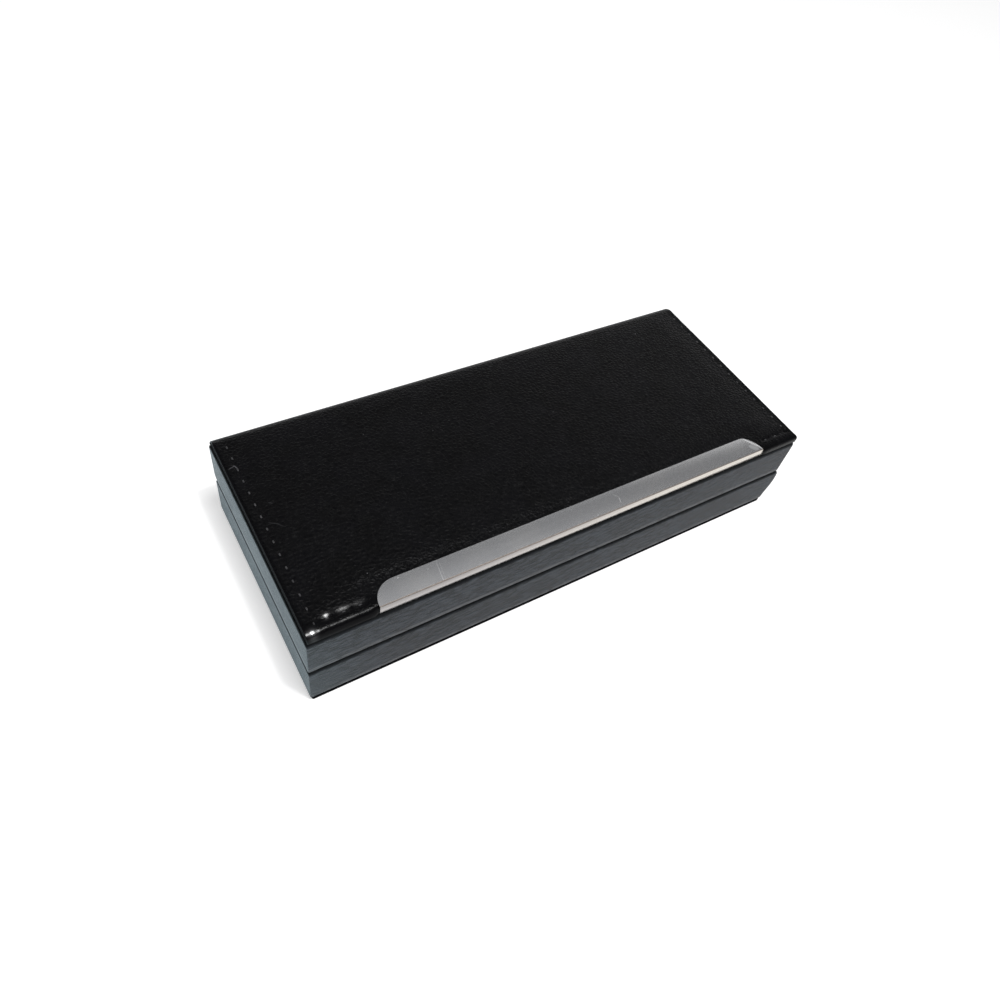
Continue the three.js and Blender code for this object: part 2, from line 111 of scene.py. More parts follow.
def startEdit(piece, mode):
    makeActive(piece)
    bpy.ops.object.mode_set(mode="EDIT")
    bpy.ops.mesh.select_mode(type=mode)
    bpy.ops.mesh.select_all(action="DESELECT")


def stopEdit():
    bpy.ops.object.mode_set(mode="OBJECT")


def pickFaces(piece, rule):
    # rule gets a face's middle and normal; the piece is in edit mode
    bpy.ops.mesh.select_mode(type="FACE")
    bpy.ops.mesh.select_all(action="DESELECT")
    shape = bmesh.from_edit_mesh(piece.data)
    shape.normal_update()
    for face in shape.faces:
        if rule(face.calc_center_median(), face.normal):
            face.select_set(True)
    bmesh.update_edit_mesh(piece.data)


def pickEdges(piece, rule):
    # rule gets the two ends of an edge; the piece is in edit mode
    bpy.ops.mesh.select_mode(type="EDGE")
    bpy.ops.mesh.select_all(action="DESELECT")
    shape = bmesh.from_edit_mesh(piece.data)
    for edge in shape.edges:
        if rule(edge.verts[0].co, edge.verts[1].co):
            edge.select_set(True)
    bmesh.update_edit_mesh(piece.data)


def roundEdges(offset, segments):
    bpy.ops.mesh.bevel(offset=offset, offset_type="OFFSET", segments=segments, affect="EDGES")


def near(a, b):
    return abs(a - b) < 0.02 * mm


def addBlock(name, low, high):
    clearSelection()
    low, high = Vector(low), Vector(high)
    bpy.ops.mesh.primitive_cube_add(size=1, location=(low + high) / 2, scale=high - low)
    piece = bpy.context.active_object
    piece.name = name
    piece.data.name = name
    bpy.ops.object.transform_apply(location=True, rotation=True, scale=True)
    return piece


def applyModifier(piece, kind, **values):
    makeActive(piece)
    modifier = piece.modifiers.new(kind.lower(), kind)
    for key, value in values.items():
        setattr(modifier, key, value)
    bpy.ops.object.modifier_apply(modifier=modifier.name)


def cutAway(piece, cutter):
    applyModifier(piece, "BOOLEAN", operation="DIFFERENCE", solver="EXACT", object=cutter)
    bpy.data.objects.remove(cutter)


def smoothShade(piece, degrees=32):
    makeActive(piece)
    bpy.ops.object.shade_smooth_by_angle(angle=math.radians(degrees))


def cutLines(piece, axis, places):
    # adds an edge loop across the whole piece at each place along one axis
    startEdit(piece, "FACE")
    direction = [0, 0, 0]
    direction[axis] = 1
    for place in places:
        point = [0, 0, 0]
        point[axis] = place
        bpy.ops.mesh.select_all(action="SELECT")
        bpy.ops.mesh.bisect(plane_co=point, plane_no=direction)
    stopEdit()


def spread(start, end, step):
    count = max(1, round(abs(end - start) / step))
    return [start + (end - start) * at / count for at in range(count + 1)]


def placePiece(piece, body, slot, material, *nodes):
    piece.data.materials.clear()
    piece.data.materials.append(material)
    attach(piece, body)
    if nodes:
        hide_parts(*nodes)
    return piece


def smoothStep(low, high, value):
    share = min(max((value - low) / (high - low), 0), 1)
    return share * share * (3 - 2 * share)


# node helpers

def feed(tree, socket, value):
    if isinstance(value, bpy.types.NodeSocket):
        tree.links.new(value, socket)
    else:
        socket.default_value = value


def calc(tree, operation, *values):
    node = tree.nodes.new("ShaderNodeMath")
    node.operation = operation
    for place, value in enumerate(values):
        feed(tree, node.inputs[place], value)
    return node.outputs[0]


def vectorCalc(tree, operation, first, second):
    node = tree.nodes.new("ShaderNodeVectorMath")
    node.operation = operation
    feed(tree, node.inputs[0], first)
    feed(tree, node.inputs["Scale"] if operation == "SCALE" else node.inputs[1], second)
    return node.outputs["Value" if operation == "DOT_PRODUCT" else "Vector"]


def splitVector(tree, vector):
    node = tree.nodes.new("ShaderNodeSeparateXYZ")
    feed(tree, node.inputs[0], vector)
    return node.outputs


def joinParts(tree, *parts):
    node = tree.nodes.new("ShaderNodeCombineXYZ")
    for index, part in enumerate(parts):
        feed(tree, node.inputs[index], part)
    return node.outputs[0]


def normalParts(tree):
    return splitVector(tree, tree.nodes.new("ShaderNodeNewGeometry").outputs["Normal"])


def readAttribute(tree, name):
    node = tree.nodes.new("ShaderNodeAttribute")
    node.attribute_name = name
    return node.outputs["Fac"]


def directRays(tree):
    # mirror rays, and all rays that see a surface without being scattered first
    rays = tree.nodes.new("ShaderNodeLightPath").outputs
    seen = calc(tree, "MAXIMUM", rays["Is Camera Ray"], rays["Is Glossy Ray"])
    return rays["Is Glossy Ray"], calc(tree, "MAXIMUM", seen, rays["Is Transmission Ray"])


def noiseField(tree, vector, scale, detail=2.0, roughness=0.5, output="Fac"):
    node = tree.nodes.new("ShaderNodeTexNoise")
    feed(tree, node.inputs["Vector"], vector)
    feed(tree, node.inputs["Scale"], scale)
    node.inputs["Detail"].default_value = detail
    node.inputs["Roughness"].default_value = roughness
    return node.outputs[output]


def cellField(tree, vector, scale, feature="F1", output="Distance"):
    node = tree.nodes.new("ShaderNodeTexVoronoi")
    node.feature = feature
    feed(tree, node.inputs["Vector"], vector)
    feed(tree, node.inputs["Scale"], scale)
    return node.outputs[output]


def remap(tree, value, fromLow, fromHigh, toLow=0.0, toHigh=1.0, smooth=True):
    node = tree.nodes.new("ShaderNodeMapRange")
    node.interpolation_type = "SMOOTHSTEP" if smooth else "LINEAR"
    feed(tree, node.inputs["Value"], value)
    for label, number in (("From Min", fromLow), ("From Max", fromHigh), ("To Min", toLow), ("To Max", toHigh)):
        feed(tree, node.inputs[label], number)
    return node.outputs["Result"]


def mixColour(tree, share, first, second):
    node = tree.nodes.new("ShaderNodeMix")
    node.data_type = "RGBA"
    feed(tree, node.inputs["Factor"], share)
    feed(tree, node.inputs["A"], first)
    feed(tree, node.inputs["B"], second)
    return node.outputs["Result"]


def newGroup(name, inputs, outputs):
    group = bpy.data.node_groups.new(name, "ShaderNodeTree")
    for label, value in inputs.items():
        kind = "NodeSocketVector" if value is None else "NodeSocketFloat"
        socket = group.interface.new_socket(name=label, in_out="INPUT", socket_type=kind)
        if value is not None:
            socket.default_value = value
    for label in outputs:
        group.interface.new_socket(name=label, in_out="OUTPUT", socket_type="NodeSocketFloat")
    return group, group.nodes.new("NodeGroupInput").outputs, group.nodes.new("NodeGroupOutput").inputs


def useGroup(tree, group, **values):
    node = tree.nodes.new("ShaderNodeGroup")
    node.node_tree = group
    for label, value in values.items():
        feed(tree, node.inputs[label], value)
    return node.outputs


# shared effects

def makeLeatherGrain():
    # pebbles parted by creases, with small wrinkles and a fine grain over them
    group, given, result = newGroup(
        "leatherGrain",
        {"Vector": None, "Cell": 1.2 * mm, "Crease": 1.0, "Fine": 0.3},
        ["Height", "Creases", "Mottle"],
    )
    inCells = vectorCalc(group, "SCALE", given["Vector"], calc(group, "DIVIDE", 1.0, given["Cell"]))
    shifts = noiseField(group, inCells, 1.1, 2.0, 0.5, "Color")
    centred = vectorCalc(group, "SUBTRACT", shifts, (0.5, 0.5, 0.5))
    warped = vectorCalc(group, "ADD", inCells, vectorCalc(group, "SCALE", centred, 0.55))
    pebbles = remap(group, cellField(group, warped, 1.0, "DISTANCE_TO_EDGE"), 0.0, 0.3)
    small = remap(group, cellField(group, warped, 2.3, "DISTANCE_TO_EDGE"), 0.0, 0.3)
    fine = noiseField(group, inCells, 5.0, 3.0, 0.6)
    mottle = noiseField(group, inCells, 0.12, 3.0, 0.55)
    depth = calc(group, "MULTIPLY", pebbles, given["Crease"])
    height = calc(group, "MULTIPLY_ADD", small, 0.35, depth)
    feed(group, result["Height"], calc(group, "MULTIPLY_ADD", fine, given["Fine"], height))
    feed(group, result["Creases"], calc(group, "SUBTRACT", 1.0, pebbles))
    feed(group, result["Mottle"], mottle)
    return group


def makeLongGrain():
    # fine threads of grain that run along the case, for leatherette and moulded plastic
    group, given, result = newGroup(
        "longGrain",
        {"Vector": None, "Width": 0.5 * mm, "Stretch": 6.0},
        ["Height", "Mottle"],
    )
    inWidths = vectorCalc(group, "SCALE", given["Vector"], calc(group, "DIVIDE", 1.0, given["Width"]))
    sway = vectorCalc(group, "SUBTRACT", noiseField(group, inWidths, 0.22, 1.0, 0.5, "Color"), (0.5, 0.5, 0.5))
    x, y, z = splitVector(group, vectorCalc(group, "ADD", inWidths, vectorCalc(group, "SCALE", sway, 1.8)))
    stretched = joinParts(group, calc(group, "DIVIDE", x, given["Stretch"]), y, z)
    threads = noiseField(group, stretched, 1.0, 3.0, 0.6)
    ridges = remap(group, cellField(group, stretched, 0.8), 0.0, 0.9)
    feed(group, result["Height"], calc(group, "MULTIPLY_ADD", ridges, -0.4, threads))
    feed(group, result["Mottle"], noiseField(group, given["Vector"], 60.0, 3.0, 0.55))
    return group


def makeSpecks():
    # sparse specks of dust of uneven size
    group, given, result = newGroup(
        "dustSpecks",
        {"Vector": None, "Spacing": 6 * mm, "Size": 0.035},
        ["Mask"],
    )
    scaled = vectorCalc(group, "SCALE", given["Vector"], calc(group, "DIVIDE", 1.0, given["Spacing"]))
    size = splitVector(group, cellField(group, scaled, 1.0, output="Color"))[0]
    radius = calc(group, "MULTIPLY", calc(group, "POWER", size, 3.0), given["Size"])
    inside = calc(group, "SUBTRACT", radius, cellField(group, scaled, 1.0))
    feed(group, result["Mask"], remap(group, inside, 0.0, 0.008))
    return group


def makeScratches():
    # hairline scratches: thin lines of stretched cells in two leaning directions
    group, given, result = newGroup(
        "hairlines",
        {"Vector": None, "Spacing": 7 * mm, "Width": 0.012},
        ["Mask"],
    )
    masks = []
    for angle, stretch in ((0.42, 5.0), (-0.2, 9.0)):
        turn = group.nodes.new("ShaderNodeVectorRotate")
        turn.rotation_type = "Z_AXIS"
        feed(group, turn.inputs["Vector"], given["Vector"])
        turn.inputs["Angle"].default_value = angle
        scaled = vectorCalc(group, "SCALE", turn.outputs[0], calc(group, "DIVIDE", 1.0, given["Spacing"]))
        long = vectorCalc(group, "MULTIPLY", scaled, (1 / stretch, 1.0, 0.2))
        lines = cellField(group, long, 1.0, "DISTANCE_TO_EDGE")
        broken = remap(group, noiseField(group, scaled, 0.35, 2.0), 0.52, 0.6)
        masks.append(calc(group, "MULTIPLY", remap(group, lines, given["Width"], 0.0), broken))
    feed(group, result["Mask"], calc(group, "MAXIMUM", masks[0], masks[1]))
    return group


def makeMark():
    # one straight mark between two places, thinning out at its ends
    group, given, result = newGroup(
        "straightMark",
        {"Vector": None, "From": None, "To": None, "Width": 0.1 * mm},
        ["Mask"],
    )
    along = vectorCalc(group, "SUBTRACT", given["To"], given["From"])
    offset = vectorCalc(group, "SUBTRACT", given["Vector"], given["From"])
    lengthSquared = vectorCalc(group, "DOT_PRODUCT", along, along)
    share = calc(group, "DIVIDE", vectorCalc(group, "DOT_PRODUCT", offset, along), lengthSquared)
    held = calc(group, "MINIMUM", calc(group, "MAXIMUM", share, 0.0), 1.0)
    away = vectorCalc(group, "SUBTRACT", offset, vectorCalc(group, "SCALE", along, held))
    distance = calc(group, "SQRT", vectorCalc(group, "DOT_PRODUCT", away, away))
    fromMiddle = calc(group, "ABSOLUTE", calc(group, "MULTIPLY_ADD", held, 2.0, -1.0))
    thinning = calc(group, "SUBTRACT", 1.02, calc(group, "POWER", fromMiddle, 3.0))
    feed(group, result["Mask"], remap(group, distance, calc(group, "MULTIPLY", given["Width"], thinning), 0.0))
    return group


leatherGrain = makeLeatherGrain()
longGrain = makeLongGrain()
dustSpecks = makeSpecks()
hairlines = makeScratches()
straightMark = makeMark()


def addMarks(tree, place, marks):
    # all marks of a list (from, to, width, strength) as one mask, places and widths in millimetres
    total = 0.0
    for start, end, width, strength in marks:
        start, end = (tuple(value * mm for value in point) for point in (start, end))
        mask = useGroup(tree, straightMark, Vector=place, From=start, To=end, Width=width * mm)["Mask"]
        total = calc(tree, "MAXIMUM", calc(tree, "MULTIPLY", mask, strength), total)
    return total


def newFinish(name, **sockets):
    material = bpy.data.materials.new(name)
    material.use_nodes = True
    tree = material.node_tree
    shader = tree.nodes["Principled BSDF"]
    for label, value in sockets.items():
        shader.inputs[label.replace("_", " ")].default_value = value
    place = tree.nodes.new("ShaderNodeTexCoord").outputs["Object"]
    return material, tree, shader, place


def addBump(tree, shader, height, distance, strength=1.0):
    bump = tree.nodes.new("ShaderNodeBump")
    feed(tree, bump.inputs["Strength"], strength)
    feed(tree, bump.inputs["Distance"], distance)
    feed(tree, bump.inputs["Height"], height)
    tree.links.new(bump.outputs["Normal"], shader.inputs["Normal"])


# finishes

def makeCoverLeatherFinish():
    look = {
        "dark": (0.0006, 0.0006, 0.001, 1),
        "worn": (0.0017, 0.0017, 0.0026, 1),
        "dust": (0.16, 0.16, 0.17, 1),
        "scuff": (0.14, 0.14, 0.15, 1),
        "cell": 1.3 * mm,
        "roughLow": 0.29,
        "roughHigh": 0.42,
        "polished": 0.25,
        "flattened": 0.9,
        "bump": 0.08 * mm,
        "marks": [
            ((-83.6, 1.4, 34.4), (-79.6, -1.2, 34.6), 0.25, 0.5),
            ((-81.9, 0.6, 34.5), (-79.0, -2.6, 34.6), 0.2, 0.35),
            ((-86.5, 22.7, 34.2), (-83.7, 23.7, 34.3), 0.26, 0.8),
            ((-84.3, 24.1, 34.2), (-83.5, 22.0, 34.3), 0.26, 0.9),
            ((-80.6, 7.4, 34.5), (-79.0, 6.3, 34.6), 0.2, 0.4),
        ],
    }
    material, tree, shader, place = newFinish(
        "coverLeather", Specular_IOR_Level=0.105, Coat_Roughness=0.22, Coat_IOR=2.2)
    grain = useGroup(tree, leatherGrain, Vector=place, Cell=look["cell"], Crease=1.0, Fine=0.35)
    specks = useGroup(tree, dustSpecks, Vector=place, Spacing=5 * mm, Size=0.05)
    polish = readAttribute(tree, "polish")
    tone = mixColour(tree, remap(tree, grain["Mottle"], 0.35, 0.7), look["dark"], look["worn"])
    marked = mixColour(tree, addMarks(tree, place, look["marks"]), tone, look["scuff"])
    feed(tree, shader.inputs["Base Color"], mixColour(tree, specks["Mask"], marked, look["dust"]))
    rough = remap(tree, grain["Creases"], 0.0, 1.0, look["roughLow"], look["roughHigh"])
    feed(tree, shader.inputs["Roughness"], remap(tree, polish, 0.0, 1.0, rough, look["polished"], smooth=False))
    feed(tree, shader.inputs["Coat Weight"], readAttribute(tree, "gloss"))
    raised = calc(tree, "MULTIPLY_ADD", polish, -look["flattened"], 1.0)
    addBump(tree, shader, grain["Height"], look["bump"], raised)
    return material


def makeLeatheretteFinish():
    # fine grain that runs along the case: along X on the long walls and along Y on the end walls
    look = {
        "low": (0.003, 0.005, 0.009, 1),
        "high": (0.07, 0.08, 0.095, 1),
        # painted highlight of the lower rims
        "paintedRimHighlight": (0.15, 0.155, 0.165, 1),
        # painted light of the end walls
        "paintedEndLight": (0.12, 0.14, 0.155, 1),
        # painted shade under the top rims
        "paintedRimShade": (0.0005, 0.0005, 0.0008, 1),
        "paintedEndLightShare": 0.3,
        "tones": (0.22, 0.58),
        "rough": (0.36, 0.52),
        "paintedShadeRough": 0.4,
        "bump": 0.22 * mm,
        "paintedHighlightHeights": ((1.2, 1.8, 2.6, 3.3), (16.6, 17.2, 18.2, 18.9)),
        "paintedShadeHeights": ((14.4, 15.7), (29.8, 31.1)),
    }
    material, tree, shader, place = newFinish(
        "leatherette", Specular_IOR_Level=0.24, Specular_Tint=(0.9, 0.97, 1.0, 1))
    onEnd = calc(tree, "GREATER_THAN", calc(tree, "ABSOLUTE", normalParts(tree)[0]), 0.7)
    x, y, height = splitVector(tree, place)
    change = vectorCalc(tree, "SUBTRACT", joinParts(tree, y, x, height), place)
    change = vectorCalc(tree, "SCALE", change, onEnd)
    lengthwise = vectorCalc(tree, "ADD", place, change)
    grain = useGroup(tree, longGrain, Vector=lengthwise, Width=0.85 * mm, Stretch=3.4)
    fine = useGroup(tree, leatherGrain, Vector=lengthwise, Cell=0.6 * mm, Crease=0.5, Fine=0.5)
    tone = calc(tree, "MULTIPLY_ADD", grain["Height"], 0.75, calc(tree, "MULTIPLY", grain["Mottle"], 0.35))
    colour = mixColour(tree, remap(tree, tone, *look["tones"]), look["low"], look["high"])
    # painted light: the end walls are mixed towards a lighter, bluer colour
    colour = mixColour(tree, calc(tree, "MULTIPLY", onEnd, look["paintedEndLightShare"]), colour, look["paintedEndLight"])
    paintedRimHighlight = paintedRimShade = 0.0
    # painted highlight: lighter bands just above the lower rims of the base and the lid
    for start, full, end, gone in look["paintedHighlightHeights"]:
        rising = remap(tree, height, start * mm, full * mm)
        falling = remap(tree, height, end * mm, gone * mm)
        paintedRimHighlight = calc(tree, "MAXIMUM", paintedRimHighlight, calc(tree, "SUBTRACT", rising, falling))
    # painted shade: near-black bands just under the top rims of the base and the lid, where the parts above shade
    # them; their roughness rises too
    for start, full in look["paintedShadeHeights"]:
        rising = remap(tree, height, start * mm, full * mm)
        inShell = calc(tree, "LESS_THAN", height, (full + 1) * mm)
        paintedRimShade = calc(tree, "MAXIMUM", paintedRimShade, calc(tree, "MULTIPLY", rising, inShell))
    colour = mixColour(tree, calc(tree, "MULTIPLY", paintedRimHighlight, remap(tree, tone, 0.1, 0.5)), colour, look["paintedRimHighlight"])
    feed(tree, shader.inputs["Base Color"], mixColour(tree, paintedRimShade, colour, look["paintedRimShade"]))
    rough = remap(tree, tone, *look["tones"], *look["rough"])
    feed(tree, shader.inputs["Roughness"], calc(tree, "MULTIPLY_ADD", paintedRimShade, look["paintedShadeRough"], rough))
    addBump(tree, shader, calc(tree, "MULTIPLY_ADD", fine["Height"], 0.4, grain["Height"]), look["bump"])
    return material


def makeStripFinish():
    # satin steel with a few scratches and a crease at its right end; painted reflection warms the folded lip
    # towards the right and painted shade darkens it towards the fold, a painted brownish reflection lies on the
    # fold, painted highlights run along the crease, and the top turns darker towards the right
    top = trimHigh.z / mm
    look = {
        "low": (0.76, 0.765, 0.78, 1),
        "high": (0.83, 0.83, 0.835, 1),
        # the top turns darker towards the right
        "darkerTowardsRight": (0.42, 0.42, 0.425, 1),
        "scratched": (1, 1, 1, 1),
        # painted reflection on the lip, grey at the left and warm at the right, with painted shade towards the fold
        "lipPaintedReflectionLeft": (0.7, 0.665, 0.655, 1),
        "lipPaintedReflectionRight": (1.0, 0.93, 0.84, 1),
        "lipShade": (0.3, 0.28, 0.27, 1),
        "lipHeights": (32.2 * mm, 34.6 * mm),
        # painted brownish reflection on the fold
        "paintedFoldReflection": (0.22, 0.19, 0.17, 1),
        "darkerTowardsRightShare": 0.35,
        "scratchShare": 0.5,
        "rough": (0.24, 0.32),
        "lipRough": 0.2,
        "bendRough": 0.3,
        "markRough": 0.4,
        "bump": 0.0018 * mm,
        "marks": [
            ((-47.4, -30.0, top), (-48.5, -37.4, top), 0.14, 0.55),
            ((-46.6, -30.2, top), (-47.6, -36.4, top), 0.1, 0.3),
            ((12.3, -31.2, top), (13.6, -32.7, top), 0.12, 0.6),
            ((13.6, -32.7, top), (12.8, -35.1, top), 0.14, 0.8),
            ((-59.2, -30.6, top), (-58.7, -30.3, top), 0.2, 0.8),
            ((-50.6, -31.4, top), (-50.2, -31.2, top), 0.16, 0.6),
            ((3.5, -35.9, top), (3.8, -35.7, top), 0.16, 0.8),
            ((-35.0, -31.0, top), (-22.0, -34.5, top), 0.07, 0.15),
            ((30.0, -36.0, top), (44.0, -31.5, top), 0.07, 0.15),
            # painted highlights: a thin bright line and a broad lighter band along the crease
            ((67.3, -29.8, top), (70.0, -34.9, top), 0.2, 0.9),
            ((67.4, -33.4, top), (69.8, -36.0, top), 1.7, 0.4),
        ],
    }
    material, tree, shader, place = newFinish("stripMetal", Metallic=1.0)
    grain = useGroup(tree, longGrain, Vector=place, Width=0.16 * mm, Stretch=5.0)
    specks = useGroup(tree, dustSpecks, Vector=place, Spacing=7 * mm, Size=0.035)
    marks = addMarks(tree, place, look["marks"])
    forward = normalParts(tree)[1]
    x, _, height = splitVector(tree, place)
    onLip = remap(tree, forward, -0.75, -0.95)
    onBend = calc(tree, "MULTIPLY", remap(tree, forward, -0.03, -0.14), calc(tree, "SUBTRACT", 1.0, onLip))
    along = remap(tree, x, -60 * mm, 55 * mm)
    tone = mixColour(tree, remap(tree, grain["Mottle"], 0.35, 0.65), look["low"], look["high"])
    # the top is mixed towards a darker grey towards the right end
    tone = mixColour(tree, calc(tree, "MULTIPLY", along, look["darkerTowardsRightShare"]), tone, look["darkerTowardsRight"])
    # painted reflection: the lip runs from grey at the left to a warm cream at the right
    lip = mixColour(tree, along, look["lipPaintedReflectionLeft"], look["lipPaintedReflectionRight"])
    # painted shade: the lip darkens towards the fold, most at the left
    towardFold = remap(tree, height, *look["lipHeights"], smooth=False)
    shade = calc(tree, "MULTIPLY", towardFold, calc(tree, "MULTIPLY_ADD", along, -0.5, 0.75))
    lip = mixColour(tree, shade, lip, look["lipShade"])
    tone = mixColour(tree, calc(tree, "MULTIPLY", marks, look["scratchShare"]), tone, look["scratched"])
    # painted reflection: the fold is mixed towards a dark brown
    folded = mixColour(tree, onBend, mixColour(tree, onLip, tone, lip), look["paintedFoldReflection"])
    feed(tree, shader.inputs["Base Color"], mixColour(tree, specks["Mask"], folded, (0.95, 0.95, 0.95, 1)))
    rough = remap(tree, grain["Height"], 0.1, 0.7, *look["rough"])
    rough = remap(tree, onLip, 0.0, 1.0, rough, look["lipRough"], smooth=False)
    rough = calc(tree, "MULTIPLY_ADD", onBend, look["bendRough"], rough)
    feed(tree, shader.inputs["Roughness"], calc(tree, "MULTIPLY_ADD", marks, look["markRough"], rough))
    addBump(tree, shader, calc(tree, "SUBTRACT", calc(tree, "MULTIPLY", grain["Height"], 0.5), marks), look["bump"])
    return material


def makeHingeFinish():
    look = {"low": (0.58, 0.55, 0.5, 1), "high": (0.66, 0.63, 0.58, 1), "rough": (0.2, 0.34)}
    material, tree, shader, place = newFinish("nickelPlate", Metallic=1.0)
    brushed = useGroup(tree, longGrain, Vector=place, Width=0.15 * mm, Stretch=60.0)
    scratches = useGroup(tree, hairlines, Vector=place, Spacing=9 * mm, Width=0.02)
    tone = mixColour(tree, remap(tree, brushed["Mottle"], 0.35, 0.65), look["low"], look["high"])
    marked = mixColour(tree, calc(tree, "MULTIPLY", scratches["Mask"], 0.6), tone, (0.9, 0.9, 0.9, 1))
    feed(tree, shader.inputs["Base Color"], marked)
    rough = remap(tree, brushed["Height"], 0.1, 0.7, *look["rough"])
    feed(tree, shader.inputs["Roughness"], calc(tree, "MULTIPLY_ADD", scratches["Mask"], 0.2, rough))
    addBump(tree, shader, calc(tree, "SUBTRACT", brushed["Height"], scratches["Mask"]), 0.004 * mm)
    return material


def makeVelvetFinish():
    look = {"low": (0.0035, 0.0035, 0.0042, 1), "high": (0.012, 0.012, 0.014, 1), "bump": 0.12 * mm}
    material, tree, shader, place = newFinish(
        "velvet", Roughness=0.95, Specular_IOR_Level=0.1, Sheen_Weight=0.35, Sheen_Roughness=0.35,
    )
    pile = noiseField(tree, place, 5000.0, 3.0, 0.7)
    brushed = noiseField(tree, place, 45.0, 4.0, 0.6)
    tone = calc(tree, "MULTIPLY_ADD", pile, 0.5, calc(tree, "MULTIPLY", brushed, 0.7))
    feed(tree, shader.inputs["Base Color"], mixColour(tree, remap(tree, tone, 0.4, 0.8), look["low"], look["high"]))
    addBump(tree, shader, pile, look["bump"])
    return material


def makeSatinFinish():
    look = {"low": (0.60, 0.57, 0.51, 1), "high": (0.74, 0.71, 0.65, 1), "thread": 0.22 * mm, "bump": 0.03 * mm}
    material, tree, shader, place = newFinish(
        "satin", Specular_IOR_Level=0.55, Sheen_Weight=0.15, Anisotropic=0.45,
    )
    x, y, _ = splitVector(tree, place)
    threads = []
    for output, width in ((x, look["thread"]), (y, 2.6 * look["thread"])):
        wave = calc(tree, "SINE", calc(tree, "MULTIPLY", output, 2 * math.pi / width))
        threads.append(calc(tree, "MULTIPLY_ADD", wave, 0.5, 0.5))
    weave = calc(tree, "MULTIPLY", threads[0], calc(tree, "MULTIPLY_ADD", threads[1], 0.5, 0.5))
    cloud = noiseField(tree, place, 70.0, 3.0)
    tone = calc(tree, "MULTIPLY_ADD", weave, 0.3, cloud)
    feed(tree, shader.inputs["Base Color"], mixColour(tree, remap(tree, tone, 0.3, 1.0), look["low"], look["high"]))
    feed(tree, shader.inputs["Roughness"], remap(tree, cloud, 0.3, 0.7, 0.34, 0.46))
    addBump(tree, shader, weave, look["bump"])
    return material


def makePlainFinish(name, low, high, rough, width, stretch, bump, specular=0.4):
    # moulded plastic, board and foam: mottled colour, uneven gloss and a fine surface
    material, tree, shader, place = newFinish(name, Specular_IOR_Level=specular)
    grain = useGroup(tree, longGrain, Vector=place, Width=width, Stretch=stretch)
    feed(tree, shader.inputs["Base Color"], mixColour(tree, remap(tree, grain["Mottle"], 0.3, 0.7), low, high))
    feed(tree, shader.inputs["Roughness"], remap(tree, grain["Height"], 0.1, 0.7, rough - 0.08, rough + 0.08))
    addBump(tree, shader, grain["Height"], bump)
    return material


coverLeatherFinish = makeCoverLeatherFinish()
cutEdgeFinish = makePlainFinish(
    "cutLeather", low=(0.0025, 0.0025, 0.003, 1), high=(0.005, 0.005, 0.006, 1), rough=0.8,
    width=0.3 * mm, stretch=1.5, bump=0.04 * mm, specular=0.02)
leatheretteFinish = makeLeatheretteFinish()
stripFinish = makeStripFinish()
hingeFinish = makeHingeFinish()
velvetFinish = makeVelvetFinish()
satinFinish = makeSatinFinish()
sheetFinish = makePlainFinish(
    "bottomSheet", low=(0.002, 0.002, 0.0025, 1), high=(0.004, 0.004, 0.005, 1), rough=0.8,
    width=0.35 * mm, stretch=1.5, bump=0.06 * mm, specular=0.03)
mouldingFinish = makePlainFinish(
    "moulding", low=(0.02, 0.021, 0.023, 1), high=(0.028, 0.029, 0.031, 1), rough=0.5,
    width=0.25 * mm, stretch=1.2, bump=0.03 * mm)
cardFinish = makePlainFinish(
    "card", low=(0.22, 0.205, 0.18, 1), high=(0.3, 0.285, 0.25, 1), rough=0.85,
    width=0.3 * mm, stretch=4.0, bump=0.05 * mm, specular=0.2)
foamFinish = makePlainFinish(
    "foam", low=(0.5, 0.48, 0.42, 1), high=(0.62, 0.6, 0.54, 1), rough=0.95,
    width=0.4 * mm, stretch=1.0, bump=0.2 * mm, specular=0.1)
threadFinish = makePlainFinish(
    "thread", low=(0.036, 0.036, 0.04, 1), high=(0.068, 0.068, 0.072, 1), rough=0.38,
    width=0.12 * mm, stretch=1.0, bump=0.03 * mm, specular=0.45)
print("finishes made,", len(bpy.data.materials), "materials")


# wraps of the base and the lid

wrapSettings = {
    "thickness": 0.5 * mm,
    "endRadius": 0.35 * mm,
    "rimRadius": 0.9 * mm,
    "topRadius": 1.5 * mm,
    "backRadius": 1.6 * mm,
    "leastRadius": 0.1 * mm,
    "lipDepth": 1.6 * mm,
    "flange": 7.0 * mm,
    "reliefRounding": 0.3 * mm,
    "notchMargin": 0.4 * mm,
    "notchDepth": 2.5 * mm,
    "notchHalfHeight": 1.85 * mm,
    "bow": 1.9 * mm,
    "bowHeight": 11.5 * mm,
    "bowReach": 40 * mm,
    "bowFull": 2 * mm,
    "bowSteps": {"length": 4 * mm, "below": 1.2 * mm, "above": 0.6 * mm},
}


def cutHingeNotches(piece):
    for low, high in pinBoxes:
        margin = wrapSettings["notchMargin"]
        half = wrapSettings["notchHalfHeight"]
        inner = trayHigh.y - wrapSettings["notchDepth"]
        cutAway(piece, addBlock(
            "notchCutter",
            (low.x - margin, inner, hingeAxis.z - half),
            (high.x + margin, cadHigh.y + 5 * mm, hingeAxis.z + half),
        ))


def roundLongEdge(piece, y, z, radius, segments):
    # rounds the edge that runs along X at one height and depth
    pickEdges(piece, lambda a, b: not near(a.x, b.x)
              and all(near(end.y, y) and near(end.z, z) for end in (a, b)))
    roundEdges(radius, segments)


